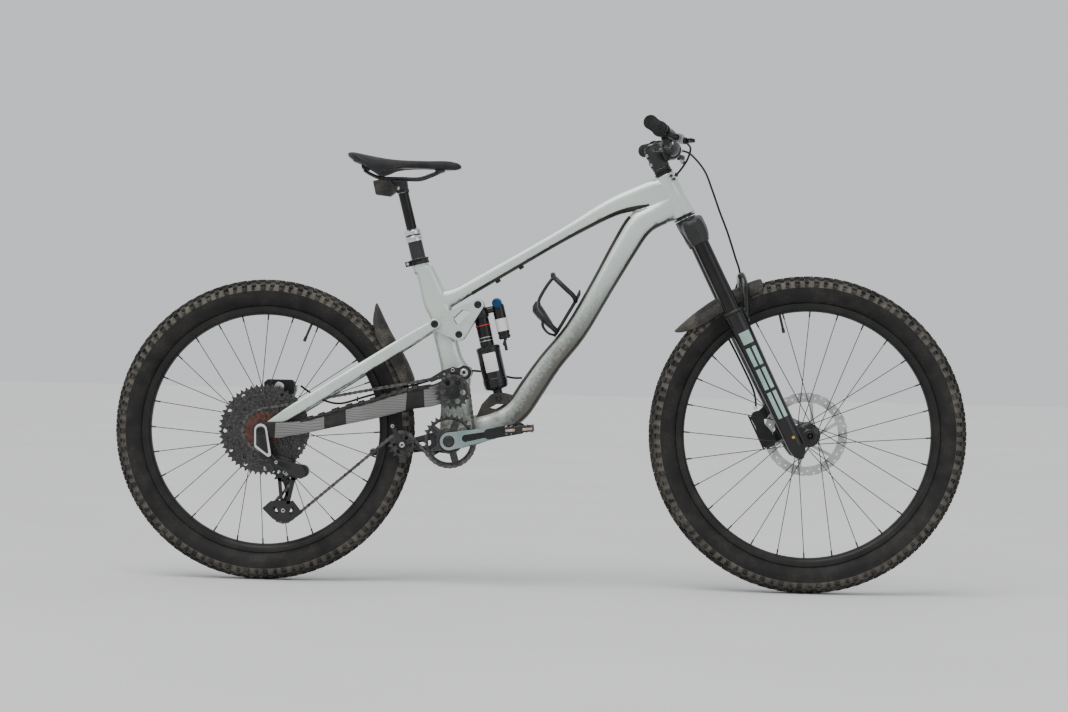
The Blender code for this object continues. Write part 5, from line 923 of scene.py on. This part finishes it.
for s, nm in ((-1, "right"), (1, "left")):
    a, b = V(B1.x, s * B1.y, B1.z), V(END.x, s * END.y, END.z)
    L = (b - a).length - 4
    d = (b - a).normalized()
    prof = [(11.7, 0), (17.2, 0), (18, 0.8), (18, 7), (17.2, 8)]
    k = 9.5
    while k < L - 8:
        prof += [(14.9, k), (14.9, k + 0.8), (15.7, k + 1.3), (15.7, k + 2.7), (14.9, k + 3.2)]
        k += 3.9
    prof += [(15.8, L - 5), (16.4, L - 4), (16.4, L + 0.2), (15.6, L + 1.0), (0, L + 1.0)]
    emit("grip_sleeve_" + nm, "steering", ["grip_" + nm], [(lathe(prof, a, d, 48), GRIP), (lathe([(17.4, 0.6), (18.2, 0.9), (18.2, 7), (17.4, 7.4)], a, d, 40), ANOD)], 0.0, 40)

    def onbar(y):
        t = (y - 160) / 98
        return V(BAR.x - 10 + (262 - BAR.x + 10) * t, s * y, BAR.z + 25 + (1066 - BAR.z - 25) * t)
    c = onbar(222)
    fwd = V(0.90, 0, -0.43)
    up = V(0.43, 0, 0.90)
    pts = [onbar(134) + fwd * 30, onbar(150) + fwd * 30, onbar(185) + fwd * 31, onbar(212) + fwd * 33, onbar(230) + fwd * 34]
    body = [(lathe([(11.9, -7), (15.2, -7), (16, -6), (16, 6), (15.2, 7), (11.9, 7)], c, d, 40, ring=True), ANOD), (loft([oval(c + fwd * q, YA, up, w, h, 20, 3) for q, w, h in ((12, 7, 7), (22, 6, 6), (34, 9, 8))]), SATIN),
            (pipe(smooth(pts, 5), [q[0] for q in dense([(6.5,), (10,), (11.6,), (10.5,), (7.5,)], 5)], 24), GLOSS), (pipe([onbar(131) + fwd * 30, onbar(137) + fwd * 30], 5.2, 20), SILVER),
            (loft([oval(onbar(200) + V(2, s * q, -25.5), (1, 0, 0), (0, 0, 1), w, h, 20, 3) for q, w, h in ((-22, 8, 7), (-10, 12.4, 11.4), (0, 13, 12), (15, 12.4, 11.4), (26, 8, 7))]), SATIN), (pipe([c + V(0, 0, -15), onbar(210) + V(2, 0, -22)], 6, 16), SATIN),
            (rod(c, (0.0, s * 1.0, 0), 3.4, -9, -6.6, 16), STEEL), (rod(onbar(176) + fwd * 31 + up * 10.5, up, 3.2, 0, 1.8, 16), RED), (rod(onbar(206) + V(16, 0, -25), (1, 0, 0), 3, -3, 0.8, 16), STEEL), (rod(onbar(192) + V(16, 0, -25), (1, 0, 0), 3, -3, 0.8, 16), STEEL)]
    emit("brake_body_" + nm, "steering", ["brake_master_" + nm], body, 0.5)
    pv = onbar(236) + fwd * 53
    lp = [pv + V(2, -s * 12, 0), pv + V(9, -s * 3, 0), pv + V(17, s * 14, -1), pv + V(15, s * 40, -3), pv + V(14, s * 70, -5), pv + V(22, s * 84, -7)]
    lr = [3.6, 5, 5.6, 4.8, 4.6, 4.0]
    row = dense([(p.x, p.y, p.z, r) for p, r in zip(lp, lr)], 6)
    blade = loft([oval(V(*q[:3]), (1, 0, 0), (0, 0, 1), q[3] * 0.72, q[3] * 1.15, 16, 2.6) for q in row])
    emit("brake_blade_" + nm, "brake_lever_" + nm, ["brake_lever_" + nm], [(blade, GLOSS), (rod(pv + V(5, -s * 4, 0), (0, 0, 1), 4.2, -7.5, 7.5, 24), ANOD), (rod(pv + V(5, -s * 4, 0), (0, 0, 1), 2.4, -8.2, 8.2, 16), STEEL)], 0.3)
    pq = onbar(204) + V(-12, 0, -39)
    pad = loft([oval(pq + V(q, s * yy, zz), (1, 0, 0), (0, 0, 1), w, h, 20, 3) for q, yy, zz, w, h in ((4, -16, -3, 4.6, 2.3), (1, -8, -4, 7, 2.8), (-4, 4, -5, 9, 3), (-8, 18, -6, 8.4, 2.8), (-9, 26, -6, 6, 2.2))])
    nmn = "shift_paddle" if s < 0 else "dropper_paddle"
    emit(nmn + "_pad", nmn, [nmn], [(pad, SATIN), (rod(pq + V(2, -s * 12, -3), (0, 0, 1), 3, -3.4, 3.6, 16), STEEL)], 0.3)

# ---------------------------------------------------------------- seat
emit("dropper_post", "dropper", ["dropper_stanchion_and_head"],
     [(lathe([(0, 70), (12.5, 70), (12.5, 160), (12.5, 169), (14.6, 170), (15.2, 171), (15.2, 176), (0, 176)], seat(0), DU, 48), COAT),
      (loft([oval(V(x, 0, z), (1, 0, 0), YA, w, h, 28, 3) for x, z, w, h in ((-338, 926, 16, 14), (-341, 934, 15, 15), (-345, 942, 19, 20), (-347, 948, 19.5, 26), (-347, 953, 19.5, 26.6))]), ANOD),
      (prism([(-409, 950), (-390, 955), (-352, 954), (-350, 930), (-368, 915), (-402, 919)], [], V(0, 0, 0), (1, 0, 0), (0, 0, 1), YA, -17, 17), MUDP), (lathe([(12.5, 168.2), (13.4, 168.6), (13.4, 169.8), (12.5, 170)], seat(0), DU, 40), STEEL)]
     + [(rod(V(-347, s * 14, 940), (0.2, 0, 1), 3.4, -10, 16, 20), STEEL) for s in (-1, 1)], 0.6)
rl = []
for s in (-1, 1):
    rl.append(pipe(smooth([(-430, s * 22, 975), (-418, s * 22, 968), (-400, s * 22, 960.5), (-380, s * 22, 957.2), (-340, s * 22, 957.2), (-300, s * 22, 957.6), (-270, s * 18, 968), (-252, s * 12, 976)], 5), 3.5, 16))
emit("saddle_rail_pair", "dropper", ["saddle_rails"], [(merge(rl), ANOD)], 0.0)
rows = [(-470, 1010, 1016, 12, 1011), (-465, 1004, 1017.2, 34, 1005), (-456, 999, 1017.5, 52, 999), (-442, 994, 1015.4, 64, 991), (-428, 990, 1012.8, 69, 981), (-412, 988, 1010, 70.6, 969), (-397, 987, 1007.6, 69.6, 961), (-380, 987, 1005, 63, 963.5), (-358, 987, 1002.8, 53, 972), (-335, 986, 1001.5, 43, 978), (-290, 986, 1001.5, 30, 981), (-240, 985, 1002.5, 22, 978.6), (-214, 984, 998.8, 19, 981), (-205, 984.6, 995, 13, 984), (-201, 986, 990.5, 7, 986.5)]
top = []
for x, z0, z1, w, zw in dense(rows, 6):
    ring = []
    groove = 3.2 * max(0.0, math.sin(math.pi * min(1, max(0, (x + 462) / 235))))
    ze = zw + min(6.0, 0.3 * (z1 - zw))
    for k in range(25):
        t = math.pi * k / 24
        y = w * math.cos(t)
        h = abs(math.sin(t)) ** 0.62
        ring.append(V(x, y, ze + (z1 - ze) * h - groove * math.exp(-(y / 9.0) ** 2)))
    for k in range(1, 20):
        y = -w * 0.97 + 1.94 * w * k / 20
        ring.append(V(x, y, min(z1 - 2.5, z0 - (z0 - zw) * (abs(y) / w) ** 3.2)))
    top.append(ring)
sad = emit("saddle_padding", "dropper", ["saddle"], [(loft(top), LEATHER)], 0.0, 60)
lower = [oval(V(x, 0, z0 - 1.2), YA, (0, 0, 1), w * 0.55, 2.6, 28, 2.6) for x, z0, z1, w, zw in dense(rows[2:-2], 5)]
emit("saddle_base", "dropper", [], [(loft(lower), SHELL), (loft([oval(V(x, 0, z), YA, (0, 0, 1), w, h, 20, 3) for x, z, w, h in ((-436, 985, 26, 6), (-428, 980, 27, 8), (-420, 982, 24, 6))]), SATIN), (loft([oval(V(x, 0, z), YA, (0, 0, 1), w, h, 20, 3) for x, z, w, h in ((-262, 979, 16, 5), (-250, 978, 17, 6), (-240, 980, 14, 4))]), SATIN)], 0.0)

# ---------------------------------------------------------------- cranks and pedals
for sgn, nm, inner in ((1, "right", -64), (-1, "left", 63.2)):
    d = (CD[0] * sgn, CD[1] * sgn)
    nr = (-d[1], d[0])
    s = -1 if nm == "right" else 1
    E = (CRANK[0] + d[0] * 170, CRANK[1] + d[1] * 170)

    def q(t, h):
        return (CRANK[0] + d[0] * t + nr[0] * h, CRANK[1] + d[1] * t + nr[1] * h)
    y0, y1 = sorted((inner, inner + s * 15))
    arm = plate(hull([(q(96, 0), 12.5), (E, 13)], 40), [circle(E, 7.3, 30)], y0, y1)
    fork_ = plate(hull([(CRANK, 20.8), (q(106, 0), 14)], 40), [hull([(q(40, 0), 8.5), (q(84, 0), 6.8)], 30), circle(CRANK, 13.8, 40)], y0 + 0.6, y1 - 0.6)
    # inner part of the right crank is coloured pale as a painted highlight
    parts = [(arm, GLOSS), (fork_, PALE_CRANK_HIGHLIGHT if nm == "right" else GLOSS), (yrod(CRANK, 13.9, *sorted((s * 12, s * 79)), 40), ANOD)]
    if nm == "right":
        parts += [(yrod(CRANK, 19, -66, -55, 40), ANOD), (plate(hull([(q(30, 0), 12), (q(96, 0), 10)], 30), [], inner - 3.0, inner - 1.2), GLOSS)]
    parts += [(lathe([(0, 79.4), (7, 79.4), (7.6, 79.9), (11, 79.9), (12, 79)], V(CRANK[0], 0, CRANK[1]), (0, s, 0), 36), SATIN)]
    emit("crank_arm_" + nm, "crank", ["crank_" + nm], parts, 1.6, segs=3)
    c = E
    sy = s
    parts = [(yrod(c, 6.5, *sorted((sy * 65, sy * 90))), STEEL), (lathe([(0, 84), (9, 84), (9.6, 90), (9, 100), (9, 176), (10, 184), (8, 186), (0, 186)], V(c[0], 0, c[1]), (0, sy, 0), 36), SATIN)]
    ya, yb = 86, 184
    ex, ez = V(math.cos(0.1), 0, math.sin(0.1)), V(-math.sin(0.1), 0, math.cos(0.1))
    fr_ = prism([(-30, sy * ya), (30, sy * ya), (34, sy * (ya + 12)), (34, sy * (yb - 12)), (30, sy * yb), (-30, sy * yb), (-34, sy * (yb - 12)), (-34, sy * (ya + 12))],
                [[(12, sy * (ya + 10)), (26, sy * (ya + 14)), (26, sy * (yb - 14)), (12, sy * (yb - 10))], [(-26, sy * (ya + 14)), (-12, sy * (ya + 10)), (-12, sy * (yb - 10)), (-26, sy * (yb - 14))]], V(c[0], 0, c[1]), ex, YA, ez, -7, 7)
    pinsg = []
    for px, py in ((30, 100), (30, 120), (30, 150), (30, 170), (-30, 100), (-30, 120), (-30, 150), (-30, 170), (18, 90), (-18, 90), (18, 180), (-18, 180)):
        for h0, h1 in ((6.6, 9.6), (-9.6, -6.6)):
            pinsg.append(rod(V(c[0], sy * py, c[1]) + ex * px, ez, 1.6, h0, h1, 8))
    # strip at the outer end of each pedal: orange trim, partly a painted whitish highlight
    parts += [(fr_, SATIN), (merge(pinsg), STEEL), (prism([(-31, sy * 184.1), (31, sy * 184.1), (29, sy * 184.9), (-29, sy * 184.9)], [], V(c[0], 0, c[1]), ex, YA, ez, -3, 3), ORANGE_TRIM_AND_HIGHLIGHT)]
    emit("pedal_body_" + nm, "pedal_" + nm, ["pedal_" + nm], parts, 0.8)

# ---------------------------------------------------------------- hoses
h = emit("rear_hose_at_bar", None, ["rear_brake_hose_front"], [(pipe(smooth([(321, -125, 1050), (332, -104, 1045), (338, -80, 1036), (332, -52, 1014), (318, -36, 992), (308.5, -29, 981)], 8), 2.5, 16), HOSE)], 0.0)
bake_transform(h)
fh = [V(321, 125, 1050), V(345, 108, 1040), V(378, 84, 1000), V(398, 66, 950), V(416, 56, 900), V(436, 54, 850), V(455, 60, 795), sp(412, 66, 68), sp(385, 44, 94), sp(352, 12, 103), sp(325, -14, 97), sp(296, -23, 80), sp(240, -22, 71.5), sp(160, -21.5, 71.5), sp(128, -27, 62), sp(107.5, -36, 50)]
h = emit("front_hose", None, ["front_brake_hose"], [(pipe(smooth(fh, 7), 2.5, 16), HOSE)], 0.0)
[x * MM for x in sp(400, 60, 66)]
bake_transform(h)
rh = [(-46, 40, 492), (-70, 43, 492), (-110, 47, 500), (-160, 49, 506), (-205, 50, 502), (-245, 52, 488), (-300, 58, 470), (-360, 58, 456), (-420, 58, 438), (-480, 58, 420), (-525, 59.5, 428), (-560, 58, 448), (-577, 58, 460)]
h = emit("rear_hose_front_part", None, [], [(pipe(smooth(rh[:8], 7), 2.5, 16), HOSE)], 0.0)
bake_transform(h)
h = emit("rear_hose_rear_part", None, ["rear_brake_hose_rear"], [(pipe(smooth(rh[7:], 7), 2.5, 16), HOSE)], 0.0)
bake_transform(h)
clips = [(pipe([(x, 47, z - 5), (x, 61, z - 5), (x, 61, z + 4), (x, 50, z + 4)], 1.5, 8), SATIN) for x, z in ((-330, 462), (-440, 432))]
emit("hose_clips", "swingarm", [], clips, 0.0)

# ---------------------------------------------------------------- floor, light and camera
FLOOR = surface("pale_floor", (0.62, 0.62, 0.615), (0.65, 0.65, 0.645), (0.8, 0.92), 0.0, 1.2, 0.0)
me = bpy.data.meshes.new("floor")
me.from_pydata([(-30, -30, 0), (30, -30, 0), (30, 30, 0), (-30, 30, 0)], [], [(0, 1, 2, 3)])
me.materials.append(FLOOR)
me.shade_smooth()
floor = bpy.data.objects.new("floor", me)
bpy.context.scene.collection.objects.link(floor)
world = bpy.data.worlds.new("studio")
bpy.context.scene.world = world
world.use_nodes = True
world.node_tree.nodes["Background"].inputs[0].default_value = (0.95, 0.97, 1.0, 1)
world.node_tree.nodes["Background"].inputs[1].default_value = 0.78


def area(name, loc, target, size, power, colour=(1, 1, 1)):
    l = bpy.data.lights.new(name, "AREA")
    l.shape, l.size, l.size_y, l.energy, l.color = "RECTANGLE", size[0], size[1], power, colour
    o = bpy.data.objects.new(name, l)
    o.location = loc
    o.rotation_euler = (Vector(target) - Vector(loc)).to_track_quat("-Z", "Y").to_euler()
    bpy.context.scene.collection.objects.link(o)


area("key", (-2.2, -3.6, 3.6), (0, 0, 0.5), (3.0, 2.4), 45, (1.0, 0.98, 0.95))
area("fill", (3.4, -3.2, 1.8), (0, 0, 0.5), (2.6, 2.2), 18, (0.93, 0.96, 1.0))
sun = bpy.data.lights.new("sky", "SUN")
sun.energy, sun.angle = 1.9, math.radians(45)
so = bpy.data.objects.new("sky", sun)
so.rotation_euler = V(0.25, 0.35, -1.0).to_track_quat("-Z", "Y").to_euler()
bpy.context.scene.collection.objects.link(so)

cam = bpy.data.cameras.new("camera")
cam.lens, cam.sensor_width, cam.clip_end = 85, 36, 100
co = bpy.data.objects.new("camera", cam)
yaw, roll = math.radians(1.507), math.radians(1.408)
fwdv = V(-math.sin(yaw), math.cos(yaw), 0)
right = V(math.cos(yaw), math.sin(yaw), 0)
r3 = right * math.cos(roll) + V(0, 0, 1) * math.sin(roll)
u3 = V(0, 0, 1) * math.cos(roll) - right * math.sin(roll)
co.matrix_world = Matrix(((r3.x, u3.x, -fwdv.x, 0.1395), (r3.y, u3.y, -fwdv.y, -5.975), (r3.z, u3.z, -fwdv.z, 0.545), (0, 0, 0, 1)))
bpy.context.scene.collection.objects.link(co)
bpy.context.scene.camera = co
